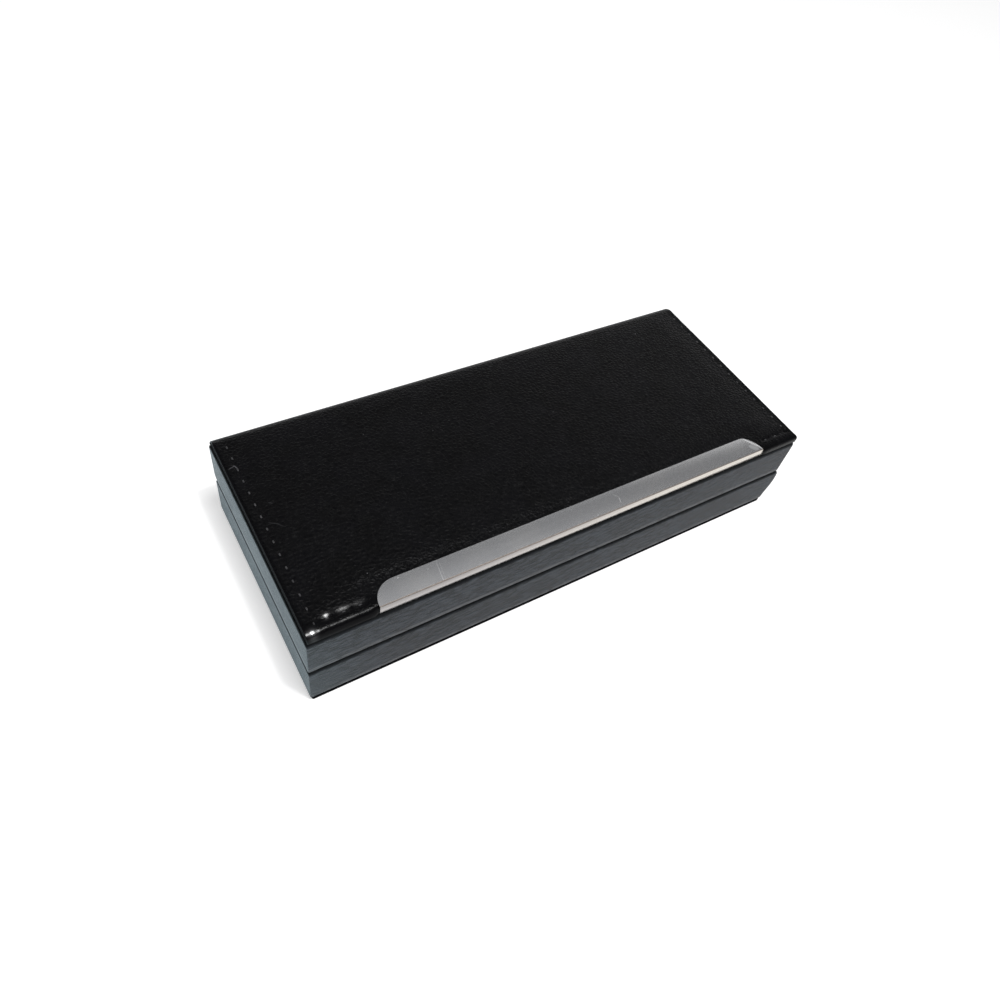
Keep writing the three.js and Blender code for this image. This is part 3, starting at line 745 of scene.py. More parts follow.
def wrapForm(name, low, high, side, inset):
    # outer form of a wrap drawn in by inset: long rims round, ends tight, back cut off for the swing of the lid
    look = wrapSettings
    low, high = low + Vector((inset, inset, inset)), high - Vector((inset, inset, inset))
    rounded = ("endRadius", "rimRadius", "topRadius", "backRadius")
    radii = {key: max(look[key] - inset, look["leastRadius"]) for key in rounded}
    piece = addBlock(name, low, high)
    startEdit(piece, "EDGE")
    roundLongEdge(piece, low.y, low.z, radii["rimRadius"], 6)
    roundLongEdge(piece, high.y, low.z, radii["rimRadius"], 6)
    roundLongEdge(piece, low.y, high.z, radii["topRadius"], 8)
    roundLongEdge(piece, high.y, high.z, radii["rimRadius" if side > 0 else "backRadius"], 10)
    pickEdges(piece, lambda a, b: near(a.x, b.x) and (near(a.x, low.x) or near(a.x, high.x)))
    roundEdges(radii["endRadius"], 4)
    reliefNormal = Vector((0, math.sin(reliefAngle), side * math.cos(reliefAngle)))
    start = hingeAxis - reliefNormal * inset
    bpy.ops.mesh.select_all(action="SELECT")
    bpy.ops.mesh.bisect(plane_co=start, plane_no=reliefNormal, use_fill=True, clear_outer=True)
    if inset == 0:
        pickEdges(piece, lambda a, b: abs((a - start).dot(reliefNormal)) < 1e-6
                  and abs((b - start).dot(reliefNormal)) < 1e-6 and near(a.z, b.z) and abs(a.x - b.x) > 50 * mm)
        roundEdges(look["reliefRounding"], 3)
    stopEdit()
    return piece


def bowRightEnd(piece, low, high):
    # the loose leatherette bows out at the right end of the base, towards its front corner
    look = wrapSettings
    widest, steps = look["bowHeight"], look["bowSteps"]
    cutLines(piece, 2, spread(low.z + steps["below"], widest, steps["below"])
             + spread(widest, high.z - 1 * mm, steps["above"])[1:])
    cutLines(piece, 1, spread(low.y + steps["length"], low.y + look["bowReach"], steps["length"]))
    for vertex in piece.data.vertices:
        co = vertex.co
        share = smoothStep(high.x - look["endRadius"] - 0.1 * mm, high.x - 0.05 * mm, co.x)
        if share > 0:
            above = max(co.z - widest, 0) / (high.z - widest)
            below = max(widest - co.z, 0) / (widest - low.z)
            rise = math.sqrt(max(1 - above * above, 0)) * (1 - smoothStep(0.1, 1, below))
            fade = 1 - smoothStep(look["bowFull"], look["bowReach"], co.y - low.y)
            co.x += look["bow"] * share * rise * fade


def makeWrap(name, low, high, side):
    # side is 1 for the base, open at its top, and -1 for the lid, open at its bottom
    look = wrapSettings
    piece = wrapForm(name, low, high, side, 0)
    if side > 0:
        bowRightEnd(piece, low, high)
    cutAway(piece, wrapForm("hollow", low, high, side, look["thickness"]))
    middle = (low.z + high.z) / 2
    openSpan, closedSpan = ((middle, high.z + mm), (low.z - mm, middle))
    if side < 0:
        openSpan, closedSpan = closedSpan, openSpan
    for span, margin in ((openSpan, look["lipDepth"]), (closedSpan, look["flange"])):
        cutAway(piece, addBlock(
            "opening", (low.x + margin, low.y + margin, span[0]), (high.x - margin, high.y - margin, span[1])))
    cutHingeNotches(piece)
    smoothShade(piece)
    return piece


placePiece(makeWrap("baseWrap", baseLow, baseHigh, 1), "base", "leatherette", leatheretteFinish, "base_wrap")
placePiece(makeWrap("lidWrap", lidLow, lidHigh, -1), "lid", "leatherette", leatheretteFinish, "lid_wrap")
print("wraps made")


# bottom sheet

def makeBottomSheet():
    look = {"cornerRadius": 0.6 * mm, "edge": 0.1 * mm, "front": 0.4 * mm}
    low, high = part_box("bottom_sheet")
    # pushed forward so that the black front edge of this real sheet also stands in for the contact shadow under the
    # base: partly painted shade
    low = low - Vector((0, look["front"], 0))  # its front edge shows as a thin black line under the base
    piece = addBlock("bottomSheet", low, high)
    startEdit(piece, "EDGE")
    pickEdges(piece, lambda a, b: not near(a.z, b.z))
    roundEdges(look["cornerRadius"], 7)
    pickEdges(piece, lambda a, b: near(a.z, b.z))
    roundEdges(look["edge"], 2)
    stopEdit()
    smoothShade(piece)
    return piece


placePiece(makeBottomSheet(), "base", "bottom_sheet", sheetFinish, "bottom_sheet")


# cover leather

cover = {
    "thickness": 0.6 * mm,
    "leftInset": 0.4 * mm,
    "rightInset": 0.05 * mm,
    "frontInset": 0.1 * mm,
    "stripPress": 0.85 * mm,
    "endRadius": 0.35 * mm,
    "frontRadius": 2.4 * mm,
    "backRadius": 4.4 * mm,
    "seatRadius": 1.4 * mm,
    "seatGap": 0.5 * mm,
    "stripHold": 1.5 * mm,
    "flapInset": 0.5 * mm,
    "rightRadius": 1.0 * mm,
    "tightSpan": (55 * mm, 76 * mm),
    "shinySpots": [  # x, y and reach in millimetres, strength
        (-85.1, -35.55, 1.5, 1.0),
        (-80.3, -32.6, 1.0, 0.75),
        (-75.6, -32.6, 1.1, 1.0),
        (-71.1, -32.7, 1.0, 0.75),
    ],
    "polish": {"hem": 0.5, "roll": 0.9, "end": 0.8},
    "polishSpans": {"hem": (0.2 * mm, 2.2 * mm), "roll": (-0.6 * mm, 0.6 * mm), "end": (0.5 * mm, 1.4 * mm)},
    "rollShine": 0.01,
    "shineSpan": (-84 * mm, -64 * mm),
    "cornerDome": {
        "place": (-85.1 * mm, -35.55 * mm, 34.2 * mm),
        "facing": (-0.012, -0.339, 0.941),
        "radius": 6.0 * mm,
        "reach": 1.7 * mm,
    },
    "leftSeam": coverLow.x + 3.8 * mm,
    "rightSeam": coverHigh.x - 2.2 * mm,
    "frontSeam": coverLow.y + 4.0 * mm,
    "stitchPitch": 4.585 * mm,
    "stitchShift": {"left": -1.05 * mm, "front": 2.35 * mm, "right": 1.5 * mm},
    "seamDepth": {"left": 0.13 * mm, "front": 0.42 * mm, "right": 0.13 * mm},
    "seamWidth": 0.5 * mm,
    "frontWidening": 2.2,
    "betweenHoles": 0.7,
    "rowEnd": 0.5 * mm,
    "puff": 0.45 * mm,
    "puffReach": 5 * mm,
    "pucker": 0.1 * mm,
    "puckerReach": 2.2 * mm,
    "ripple": 0.16 * mm,
    "rippleSize": (1.7 * mm, 6 * mm),
    "hemReach": 1.2 * mm,
    "waves": 0.09 * mm,
    "waveSize": 17 * mm,
    "dimples": 0.02 * mm,
    "dimpleSize": 3.1 * mm,
    "pressed": 0.03 * mm,
    "pressSpan": (0.3 * mm, 4 * mm),
    "liftDepth": 2.2 * mm,
    "backFade": 9 * mm,
    "flapTop": 4 * mm,
    "flapFrom": 60 * mm,
    "fineStep": 0.5 * mm,
    "coarseStep": 1.5 * mm,
    "fineBand": 9 * mm,
}
cover["frontCuts"] = [trimLow.x - 1.3 * mm, trimLow.x] + spread(*cover["tightSpan"], 2 * mm)
coverFrom = coverLow + Vector((cover["leftInset"], cover["frontInset"], 0))
coverTo = coverHigh - Vector((cover["rightInset"], 0, 0))


def stitchPhase(along, row):
    return 2 * math.pi * (along - cover["stitchShift"][row]) / cover["stitchPitch"]


def coverLift(x, y):
    # how far the padded leather stands above or below its flat height
    fromLeft = x - cover["leftSeam"]
    fromRight = cover["rightSeam"] - x
    fromFront = y - cover["frontSeam"]
    inside = min(fromLeft, fromRight, fromFront)
    lift = 0.0
    if inside > 0:
        lift += cover["puff"] * (1 - math.exp(-(inside / cover["puffReach"]) ** 2))
    for distance, along, row in ((fromLeft, y, "left"), (fromRight, y, "right"), (fromFront, x, "front")):
        beyondRow = min(fromLeft, fromRight) if row == "front" else fromFront
        if beyondRow < -cover["rowEnd"]:
            continue
        width = cover["seamWidth"] * (cover["frontWidening"] if row == "front" and distance > 0 else 1)
        groove = math.exp(-(distance / width) ** 2)
        holes = 0.5 - 0.5 * math.cos(stitchPhase(along, row))
        lift -= cover["seamDepth"][row] * groove * (1.2 - cover["betweenHoles"] * holes)
        pull = math.exp(-(distance / cover["puckerReach"]) ** 2)
        lift += cover["pucker"] * pull * (0.5 - holes) * (1 if distance < 0 else 0.6)
    place = Vector((x, y, 0))
    lift += cover["waves"] * noise.noise(place / cover["waveSize"])
    lift += cover["dimples"] * noise.noise(place / cover["dimpleSize"])
    hem = smoothStep(0, cover["hemReach"], -fromFront)
    short, long = cover["rippleSize"]
    lift += cover["ripple"] * hem * noise.noise(Vector((x / short, y / long, 3.3)))
    press = 1 - smoothStep(*cover["pressSpan"], trimDistance(x, y))
    return lift * (1 - press) - cover["pressed"] * press


def trimDistance(x, y):
    beyondX = max(trimLow.x - x, x - trimHigh.x, 0)
    beyondY = max(y - trimHigh.y, 0)
    return math.hypot(beyondX, beyondY)


def underStrip(x, y):
    # the folded strip squeezes the front of the padding
    depth = coverFrom.y + cover["frontRadius"] - y
    if depth <= 0:
        return y
    beyond = max(trimLow.x + 0.9 * mm - x, x - trimHigh.x + 0.3 * mm, 0)
    held = 1 - smoothStep(0, cover["stripHold"], beyond)
    return y + held * cover["stripPress"] * depth / cover["frontRadius"]


def shapeFront(piece, inset):
    # the roll of the front edge tightens towards the right end
    radius, front, top = cover["frontRadius"] - inset, coverFrom.y + inset, coverHigh.z - inset
    tight = max(cover["rightRadius"] - inset, 0.15 * mm) / radius
    for vertex in piece.data.vertices:
        co = vertex.co
        scale = 1 + smoothStep(*cover["tightSpan"], co.x) * (tight - 1)
        if co.y - front < radius + 0.02 * mm and top - co.z < radius + 0.02 * mm:
            co.y, co.z = front + (co.y - front) * scale, top + (co.z - top) * scale
        co.y = underStrip(co.x, co.y)


def domeCorner(piece):
    # the worn front left corner is a shallow round bump
    dome = cover["cornerDome"]
    facing = Vector(dome["facing"])
    for vertex in piece.data.vertices:
        offset = vertex.co - Vector(dome["place"])
        share = math.exp(-(offset.length / dome["reach"]) ** 4)
        vertex.co -= facing * share * (offset.dot(facing) + offset.length_squared / (2 * dome["radius"]))


def seatCutter(gap):
    # cuts what stands less than gap above the lid, round its back edge too
    piece = addBlock("seatCutter", (-far, -far, 0), (far, baseHigh.y, lidHigh.z + gap))
    startEdit(piece, "EDGE")
    pickEdges(piece, lambda a, b: near(a.z, lidHigh.z + gap) and near(b.z, a.z)
              and near(a.y, baseHigh.y) and near(b.y, a.y))
    roundEdges(cover["seatRadius"], 12)
    stopEdit()
    return piece


def coverBlock(name, inset, endSegments, endRadius=cover["endRadius"], below=0.0):
    # the padded cover's outer form drawn in by inset
    low = coverFrom + Vector((inset, inset, -below))
    high = coverTo - Vector((inset, inset, inset))
    piece = addBlock(name, low, high)
    startEdit(piece, "EDGE")
    roundLongEdge(piece, high.y, high.z, cover["backRadius"] - inset, 14)
    roundLongEdge(piece, low.y, high.z, cover["frontRadius"] - inset, 8)
    pickEdges(piece, lambda a, b: not (near(a.z, low.z) and near(b.z, low.z))
              and near(a.x, b.x) and (near(a.x, low.x) or near(a.x, high.x)))
    roundEdges(endRadius, endSegments)
    stopEdit()
    return piece


def addWear(piece):
    # polish smooths the handled hem, front roll and ends; gloss lays a clear shine on the worn spots
    amount, span = cover["polish"], cover["polishSpans"]
    rollEnd = coverFrom.y + cover["frontRadius"]
    polish = piece.data.attributes.new("polish", "FLOAT", "POINT")
    gloss = piece.data.attributes.new("gloss", "FLOAT", "POINT")
    for vertex, smoothness, shine in zip(piece.data.vertices, polish.data, gloss.data):
        x, y, _ = vertex.co
        onHem = amount["hem"] * (1 - smoothStep(*span["hem"], y - cover["frontSeam"]))
        onRoll = amount["roll"] * (1 - smoothStep(*span["roll"], y - rollEnd))
        onEnd = amount["end"] * (1 - smoothStep(*span["end"], min(x - coverFrom.x, coverTo.x - x)))
        spots = [strength * math.exp(-(math.hypot(x - spotX * mm, y - spotY * mm) / (reach * mm)) ** 2)
                 for spotX, spotY, reach, strength in cover["shinySpots"]]
        smoothness.value = max(onHem, onRoll, onEnd, *spots)
        handled = (1 - smoothStep(*cover["shineSpan"], x)) * onRoll
        shine.value = max(*(spot * spot for spot in spots), cover["rollShine"] * handled)


def makeCoverLeather():
    thickness = cover["thickness"]
    piece = coverBlock("coverLeather", 0, 4)
    band, fine, coarse = cover["fineBand"], cover["fineStep"], cover["coarseStep"]
    leftEdge, rightEdge = coverFrom.x + cover["endRadius"], coverTo.x - cover["endRadius"]
    frontEdge, backEdge = coverFrom.y + cover["frontRadius"], coverHigh.y - cover["backRadius"]
    cutLines(piece, 0, spread(leftEdge, leftEdge + band, fine)[1:]
             + spread(leftEdge + band, rightEdge - band, coarse)[1:]
             + spread(rightEdge - band, rightEdge, fine)[1:-1])
    cutLines(piece, 1, spread(frontEdge, frontEdge + band, fine)[1:]
             + spread(frontEdge + band, backEdge, coarse)[1:-1])
    cutLines(piece, 2, [coverHigh.z - 2 * mm, lidHigh.z, lidHigh.z - 1.5 * mm, lidHigh.z - cover["flapTop"]])
    flat = coverHigh.z - 0.01 * mm
    shapeFront(piece, 0)
    for vertex in piece.data.vertices:
        co = vertex.co
        share = smoothStep(coverHigh.z - cover["liftDepth"], flat, co.z)
        if share > 0:
            co.z += share * coverLift(co.x, co.y) * smoothStep(0, cover["backFade"], coverHigh.y - co.y)
        drawn = 1 - smoothStep(lidHigh.z - cover["flapTop"], lidHigh.z, co.z)
        if co.y > baseHigh.y - 0.1 * mm:
            outward = max(abs(co.x) - cover["flapFrom"], 0) / (coverHigh.x - cover["flapFrom"])
            co.x -= math.copysign(cover["flapInset"] * drawn * outward, co.x)
    domeCorner(piece)
    inner = coverBlock("innerCutter", thickness, 1, endRadius=0.1 * mm, below=8 * mm)
    cutLines(inner, 0, cover["frontCuts"])
    shapeFront(inner, thickness)
    cutAway(piece, inner)
    cutAway(piece, seatCutter(cover["seatGap"]))
    addWear(piece)
    smoothShade(piece, 40)
    return piece


leather = placePiece(makeCoverLeather(), "lid", "cover_leather", coverLeatherFinish, "cover_leather")
leather.data.materials.append(cutEdgeFinish)
for face in leather.data.polygons:
    face.material_index = 1 if abs(face.normal.x) > 0.85 and abs(face.center.x) > 85 * mm else 0
print("cover leather made")


# stitching of the cover

stitching = {
    "length": 1.5 * mm,
    "radius": 0.23 * mm,
    "step": 0.36 * mm,
    "taper": 0.45,
    "dive": 0.55 * mm,
    "rise": 0.06 * mm,
    "clearOfStrip": 2 * mm,
    "clearOfBack": 5.5 * mm,
    "clearOfCorner": 1 * mm,
}


def makeStitch():
    # a short thread along X, thin at its ends, which dive into the leather
    length = stitching["length"]
    clearSelection()
    bpy.ops.mesh.primitive_cylinder_add(
        vertices=10, radius=stitching["radius"], depth=length, rotation=(0, math.pi / 2, 0))
    piece = bpy.context.active_object
    bpy.ops.object.transform_apply(location=True, rotation=True, scale=True)
    cutLines(piece, 0, spread(-length / 2, length / 2, stitching["step"])[1:-1])
    for vertex in piece.data.vertices:
        co = vertex.co
        share = abs(2 * co.x / length)
        thin = 1 - stitching["taper"] * share ** 4
        co.y *= thin
        co.z = co.z * thin - stitching["dive"] * share ** 3
    smoothShade(piece, 60)
    return piece


def copyStitch(stitch, middle, row):
    makeActive(stitch)
    bpy.ops.object.duplicate()
    piece = bpy.context.active_object
    startEdit(piece, "EDGE")
    bpy.ops.mesh.select_all(action="SELECT")
    if row != "front":
        bpy.ops.transform.rotate(value=math.pi / 2, orient_axis="Z", center_override=(0, 0, 0))
    bpy.ops.transform.translate(value=middle)
    stopEdit()
    return piece


def makeStitchRow(name, stitch, row, start, end, seam):
    pieces = []
    pitch = cover["stitchPitch"]
    shift = cover["stitchShift"][row]
    first = math.ceil((start - shift) / pitch)
    last = math.floor((end - shift) / pitch)
    for step in range(first, last + 1):
        along = shift + step * pitch
        x, y = (along, seam) if row == "front" else (seam, along)
        if row == "front" and trimDistance(x, y) < stitching["clearOfStrip"]:
            continue
        middle = (x, y, coverHigh.z + coverLift(x, y) + stitching["rise"])
        pieces.append(copyStitch(stitch, middle, row))
    clearSelection()
    for piece in pieces:
        piece.select_set(True)
    bpy.context.view_layer.objects.active = pieces[0]
    bpy.ops.object.join()
    joined = bpy.context.active_object
    joined.name = name
    joined.data.name = name
    return joined


stitch = makeStitch()
endRow = (cover["frontSeam"], coverHigh.y - stitching["clearOfBack"])
corner = stitching["clearOfCorner"]
frontRow = (cover["leftSeam"] + corner, cover["rightSeam"] - corner)
for row, span in (("left", endRow), ("right", endRow), ("front", frontRow)):
    threads = makeStitchRow("stitches" + row.capitalize(), stitch, row, *span, cover[row + "Seam"])
    placePiece(threads, "lid", "cover_leather", threadFinish)
bpy.data.objects.remove(stitch)
print("stitches made")


# metal strip

strip = {
    "plate": 0.5 * mm,
    "lip": 0.35 * mm,
    "front": trimLow.y + 1.02 * mm,
    "rear": trimHigh.y - 0.45 * mm,
    "left": trimLow.x + 0.6 * mm,
    "rearRadius": {"left": 6.6 * mm, "right": 5.5 * mm},
    "lipFlare": 0.9 * mm,
    "bendRadius": 0.5 * mm,
    "edge": 0.07 * mm,
    "creaseFrom": (67.2 * mm, -29.6 * mm),
    "creaseTo": (70.7 * mm, -36.4 * mm),
    "creaseDrop": 0.45 * mm,
    "creaseWidth": 0.25 * mm,
    "creaseReach": 2 * mm,
}


def makeTrimPlate():
    plate, lip, front, rear = strip["plate"], strip["lip"], strip["front"], strip["rear"]
    piece = addBlock("trimPlate", (strip["left"], front, trimHigh.z - plate), (trimHigh.x, rear, trimHigh.z))
    startEdit(piece, "EDGE")
    for end, radius in strip["rearRadius"].items():
        pickEdges(piece, lambda a, b: not near(a.z, b.z) and near(a.y, rear) and (a.x > 0) == (end == "right"))
        roundEdges(radius, 14)
    bpy.ops.mesh.select_all(action="SELECT")
    bpy.ops.mesh.bisect(plane_co=(0, front + lip, 0), plane_no=(0, 1, 0))
    pickFaces(piece, lambda middle, normal: normal.z < -0.9 and middle.y < front + lip)
    bpy.ops.mesh.extrude_region_move(TRANSFORM_OT_translate={"value": (0, 0, trimLow.z + plate - trimHigh.z)})
    pickEdges(piece, lambda a, b: near(a.z, trimHigh.z) and near(b.z, trimHigh.z)
              and near(a.y, front) and near(b.y, front))
    roundEdges(strip["bendRadius"], 6)
    start, end = Vector((*strip["creaseFrom"], 0)), Vector((*strip["creaseTo"], 0))
    across = (end - start).normalized().cross(Vector((0, 0, 1)))
    across = across if across.x > 0 else -across
    for shift in (-strip["creaseWidth"], strip["creaseWidth"]):
        bpy.ops.mesh.select_all(action="SELECT")
        bpy.ops.mesh.bisect(plane_co=start + across * shift, plane_no=across)
    stopEdit()
    for vertex in piece.data.vertices:
        if vertex.co.z < trimLow.z + mm and vertex.co.x > trimHigh.x - mm:
            vertex.co.x += strip["lipFlare"]
        beyond = (vertex.co - start).dot(across)
        if beyond > -0.2 * mm and vertex.co.z > trimHigh.z - 2 * plate and vertex.co.y > front + 1.2 * mm:
            vertex.co.z -= strip["creaseDrop"] * min(max(beyond, 0) / strip["creaseReach"], 1)
    applyModifier(piece, "BEVEL", width=strip["edge"], segments=2, limit_method="ANGLE",
                  angle_limit=math.radians(50))
    smoothShade(piece)
    return piece


placePiece(makeTrimPlate(), "lid", "strip", stripFinish, "trim_plate")
print("strip made")


# foam under the leather

foam = {
    "gap": 0.15 * mm,
    "endRadius": 0.3 * mm,
    "behindBoard": 0.3 * mm,
    "tailFrom": 2 * mm,
    "tailHeight": 4 * mm,
}


def makeCoverFoam():
    gap = foam["gap"]
    inset = cover["thickness"] + gap
    piece = coverBlock("coverFoam", inset, 2, endRadius=foam["endRadius"])
    cutLines(piece, 0, cover["frontCuts"])
    shapeFront(piece, inset)
    cutAway(piece, seatCutter(cover["seatGap"] + 0.1 * mm))
    boardTop = (far, boardHigh.y + foam["behindBoard"], boardHigh.z + gap / 2)
    cutAway(piece, addBlock("boardCutter", (-far, -far, 0), boardTop))
    tailLow = (-far, baseHigh.y - foam["tailFrom"], 0)
    cutAway(piece, addBlock("tailCutter", tailLow, (far, far, coverHigh.z - foam["tailHeight"])))
    smoothShade(piece)
    return piece


coverFoam = placePiece(makeCoverFoam(), "lid", "foam", foamFinish, "cover_foam")


# velvet bed

bed = {
    "step": 0.6 * mm,
    "cornerRadius": 1.1 * mm,
    "edgeRound": 1.4 * mm,
    "edgeTurn": 0.98,
    "grooveRadius": 7.5 * mm,
    "grooveStraight": 1.5 * mm,
    "grooveEndInset": 9.6 * mm,
    "lip": 1.6 * mm,
    "recess": (18 * mm, 22 * mm, 9 * mm),
    "recessLift": 1 * mm,
    "blend": 0.9 * mm,
    "pocketMargin": 2 * mm,
    "pocketDepth": 1.7 * mm,
    "waves": 0.06 * mm,
    "waveSize": 14 * mm,
}


def softMax(a, b, reach):
    share = max(reach - abs(a - b), 0) / reach
    return max(a, b) + share * share * reach / 4


def bedDrop(x, y):
    # depth of the groove and of the finger recess under the bed's top
    radius, lip = bed["grooveRadius"], bed["lip"]
    halfBarrel = bedHigh.x - bed["grooveEndInset"] - radius
    away = math.hypot(max(abs(x) - halfBarrel, 0), y)
    groove = 0.0
    if away < radius:
        groove = bed["grooveStraight"] + math.sqrt(radius * radius - away * away)
    elif away < radius + lip:
        inward = lip - (away - radius)
        groove = lip - math.sqrt(lip * lip - inward * inward)
    across, along, deep = bed["recess"]
    inner = 1 - (x / across) ** 2 - (y / along) ** 2
    recess = deep * math.sqrt(inner) - bed["recessLift"] if inner > 0 else -2 * bed["recessLift"]
    return softMax(groove, softMax(recess, 0.0, bed["blend"]), bed["blend"])


def makePenBed():
    size = bedHigh - bedLow
    clearSelection()
    bpy.ops.mesh.primitive_grid_add(
        x_subdivisions=round(size.x / bed["step"]), y_subdivisions=round(size.y / bed["step"]),
        size=1, location=(0, (bedLow.y + bedHigh.y) / 2, bedHigh.z))
    piece = bpy.context.active_object
    piece.name = "penBed"
    piece.scale = (size.x, size.y, 1)
    bpy.ops.object.transform_apply(location=True, rotation=True, scale=True)
    corner = bed["cornerRadius"]
    innerX, innerY = bedHigh.x - corner, bedHigh.y - corner
    for vertex in piece.data.vertices:
        co = vertex.co
        beyond = Vector((max(abs(co.x) - innerX, 0), max(abs(co.y) - innerY, 0)))
        if beyond.x > 0 and beyond.y > 0 and beyond.length > corner:
            beyond *= corner / beyond.length
            co.x = math.copysign(innerX + beyond.x, co.x)
            co.y = math.copysign(innerY + beyond.y, co.y)
        toEdge = min(bedHigh.x - abs(co.x), bedHigh.y - abs(co.y), bed["edgeRound"])
        inward = bed["edgeRound"] - max(toEdge, 0)
        edgeDrop = bed["edgeRound"] - math.sqrt(bed["edgeRound"] ** 2 - bed["edgeTurn"] * inward ** 2)
        wave = bed["waves"] * noise.noise(Vector((co.x, co.y, 0)) / bed["waveSize"])
        co.z += wave - bedDrop(co.x, co.y) - edgeDrop
    startEdit(piece, "EDGE")
    bpy.ops.mesh.select_all(action="SELECT")
    bpy.ops.mesh.region_to_loop()
    bpy.ops.mesh.extrude_region_move(TRANSFORM_OT_translate={"value": (0, 0, -3 * mm)})
    bpy.ops.transform.resize(value=(1, 1, 0), center_override=(0, 0, bedLow.z))
    bpy.ops.mesh.edge_face_add()
    bpy.ops.mesh.select_all(action="SELECT")
    bpy.ops.mesh.normals_make_consistent(inside=False)
    stopEdit()
    for low, high in pinBoxes:
        cutAway(piece, addBlock(
            "pocketCutter",
            (low.x - bed["pocketMargin"], bedHigh.y - bed["pocketDepth"], bedLow.z - mm),
            (high.x + bed["pocketMargin"], bedHigh.y + 5 * mm, bedHigh.z + mm)))
    smoothShade(piece, 50)
    return piece


penBed = placePiece(makePenBed(), "base", "velvet", velvetFinish, "pen_bed")
print("velvet bed made")


# satin lining of the lid

lining = {
    "step": 2.0 * mm,
    "startThickness": 1.9 * mm,
    "shrinkIn": 0.5 * mm,
    "cap": 1.3 * mm,
    "pressure": 4.0,
    "mass": 0.15,
    "quality": 6,
    "shrink": -0.02,
    "frames": 20,
    "cornerRadius": 1.2 * mm,
    "edgeStep": 1.3 * mm,
    "layers": (0.6 * mm, 1.2 * mm),
}


def makeLiningPad():
    inset = lining["shrinkIn"]
    low = Vector((liningLow.x + inset, liningLow.y + inset, liningHigh.z - lining["startThickness"]))
    high = Vector((liningHigh.x - inset, liningHigh.y - inset, liningHigh.z))
    piece = addBlock("liningPad", low, high)
    startEdit(piece, "EDGE")
    pickEdges(piece, lambda a, b: not near(a.z, b.z))
    roundEdges(lining["cornerRadius"], 4)
    stopEdit()
    edge = lining["edgeStep"]
    for axis in (0, 1):
        cutLines(piece, axis, spread(low[axis] + edge, high[axis] - edge, lining["step"]))
    cutLines(piece, 2, [low.z + layer for layer in lining["layers"]])
    startEdit(piece, "FACE")
    bpy.ops.mesh.select_all(action="SELECT")
    bpy.ops.mesh.quads_convert_to_tris()
    stopEdit()
    rest = [vertex.co.copy() for vertex in piece.data.vertices]
    back = piece.vertex_groups.new(name="back")
    back.add([v.index for v in piece.data.vertices if near(v.co.z, high.z)], 1.0, "REPLACE")
    makeActive(piece)
    cloth = piece.modifiers.new("cloth", "CLOTH")
    cloth.settings.quality = lining["quality"]
    cloth.settings.mass = lining["mass"]
    cloth.settings.use_pressure = True
    cloth.settings.uniform_pressure_force = lining["pressure"]
    cloth.settings.shrink_min = lining["shrink"]
    cloth.settings.vertex_group_mass = "back"
    cloth.settings.effector_weights.gravity = 0
    cloth.point_cache.frame_start, cloth.point_cache.frame_end = 1, lining["frames"]
    for step in range(1, lining["frames"] + 1):
        bpy.context.scene.frame_set(step)
    bpy.ops.object.modifier_apply(modifier=cloth.name)
    bpy.context.scene.frame_set(1)
    for vertex, start in zip(piece.data.vertices, rest):
        move = vertex.co - start
        if move.length > lining["cap"]:
            move *= lining["cap"] / move.length
        vertex.co = start + move
        vertex.co.z = min(vertex.co.z, high.z)
    applyModifier(piece, "SUBSURF", levels=1, render_levels=1)
    smoothShade(piece, 60)
    return piece


liningPad = placePiece(makeLiningPad(), "lid", "satin", satinFinish, "lining_pad")
print("lining made")


# rigid pieces that keep their CAD shape, with their edges broken and their faces smoothed

def copyNode(node, name, edge):
    makeActive(frame["nodes"][node])
    bpy.ops.object.duplicate()
    piece = bpy.context.active_object
    piece.name = name
    piece.data.name = name
    piece.parent = None
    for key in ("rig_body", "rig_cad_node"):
        del piece[key]
    startEdit(piece, "VERT")
    bpy.ops.mesh.select_all(action="SELECT")
    bpy.ops.mesh.remove_doubles(threshold=0.002 * mm)
    bpy.ops.mesh.dissolve_limited(angle_limit=math.radians(0.5))
    stopEdit()
    makeActive(piece)
    bpy.ops.mesh.customdata_custom_splitnormals_clear()
    if edge > 0:
        applyModifier(piece, "BEVEL", width=edge, segments=2, limit_method="ANGLE",
                      angle_limit=math.radians(50), use_clamp_overlap=True)
    smoothShade(piece)
    return piece


boardTrim = 1.1 * mm  # the hidden board stays clear of the rounded front of the padding and of the ends

rigidPieces = [
    ("base_tray", "baseTray", "base", "moulding", mouldingFinish, 0.12 * mm),
    ("lid_frame", "lidFrame", "lid", "moulding", mouldingFinish, 0.12 * mm),
    ("cover_board", "coverBoard", "lid", "card", cardFinish, 0.08 * mm),
    ("lining_card", "liningCard", "lid", "card", cardFinish, 0.08 * mm),
]
for side in ("left", "right"):
    tag = side.capitalize()
    rigidPieces += [
        (f"base_leaf_{side}", f"baseLeaf{tag}", "base", "hinge_steel", hingeFinish, 0.08 * mm),
        (f"lid_leaf_{side}", f"lidLeaf{tag}", "lid", "hinge_steel", hingeFinish, 0.08 * mm),
        (f"hinge_pin_{side}", f"hingePin{tag}", "base", "hinge_steel", hingeFinish, 0.0),
        (f"snap_spring_{side}", f"snapSpring{tag}", "base", "hinge_steel", hingeFinish, 0.05 * mm),
    ]
    for body in ("base", "lid"):
        for number in (1, 2):
            rigidPieces.append((f"{body}_{side}_rivet_{number}", f"{body}{tag}Rivet{number}", body,
                                "hinge_steel", hingeFinish, 0.0))
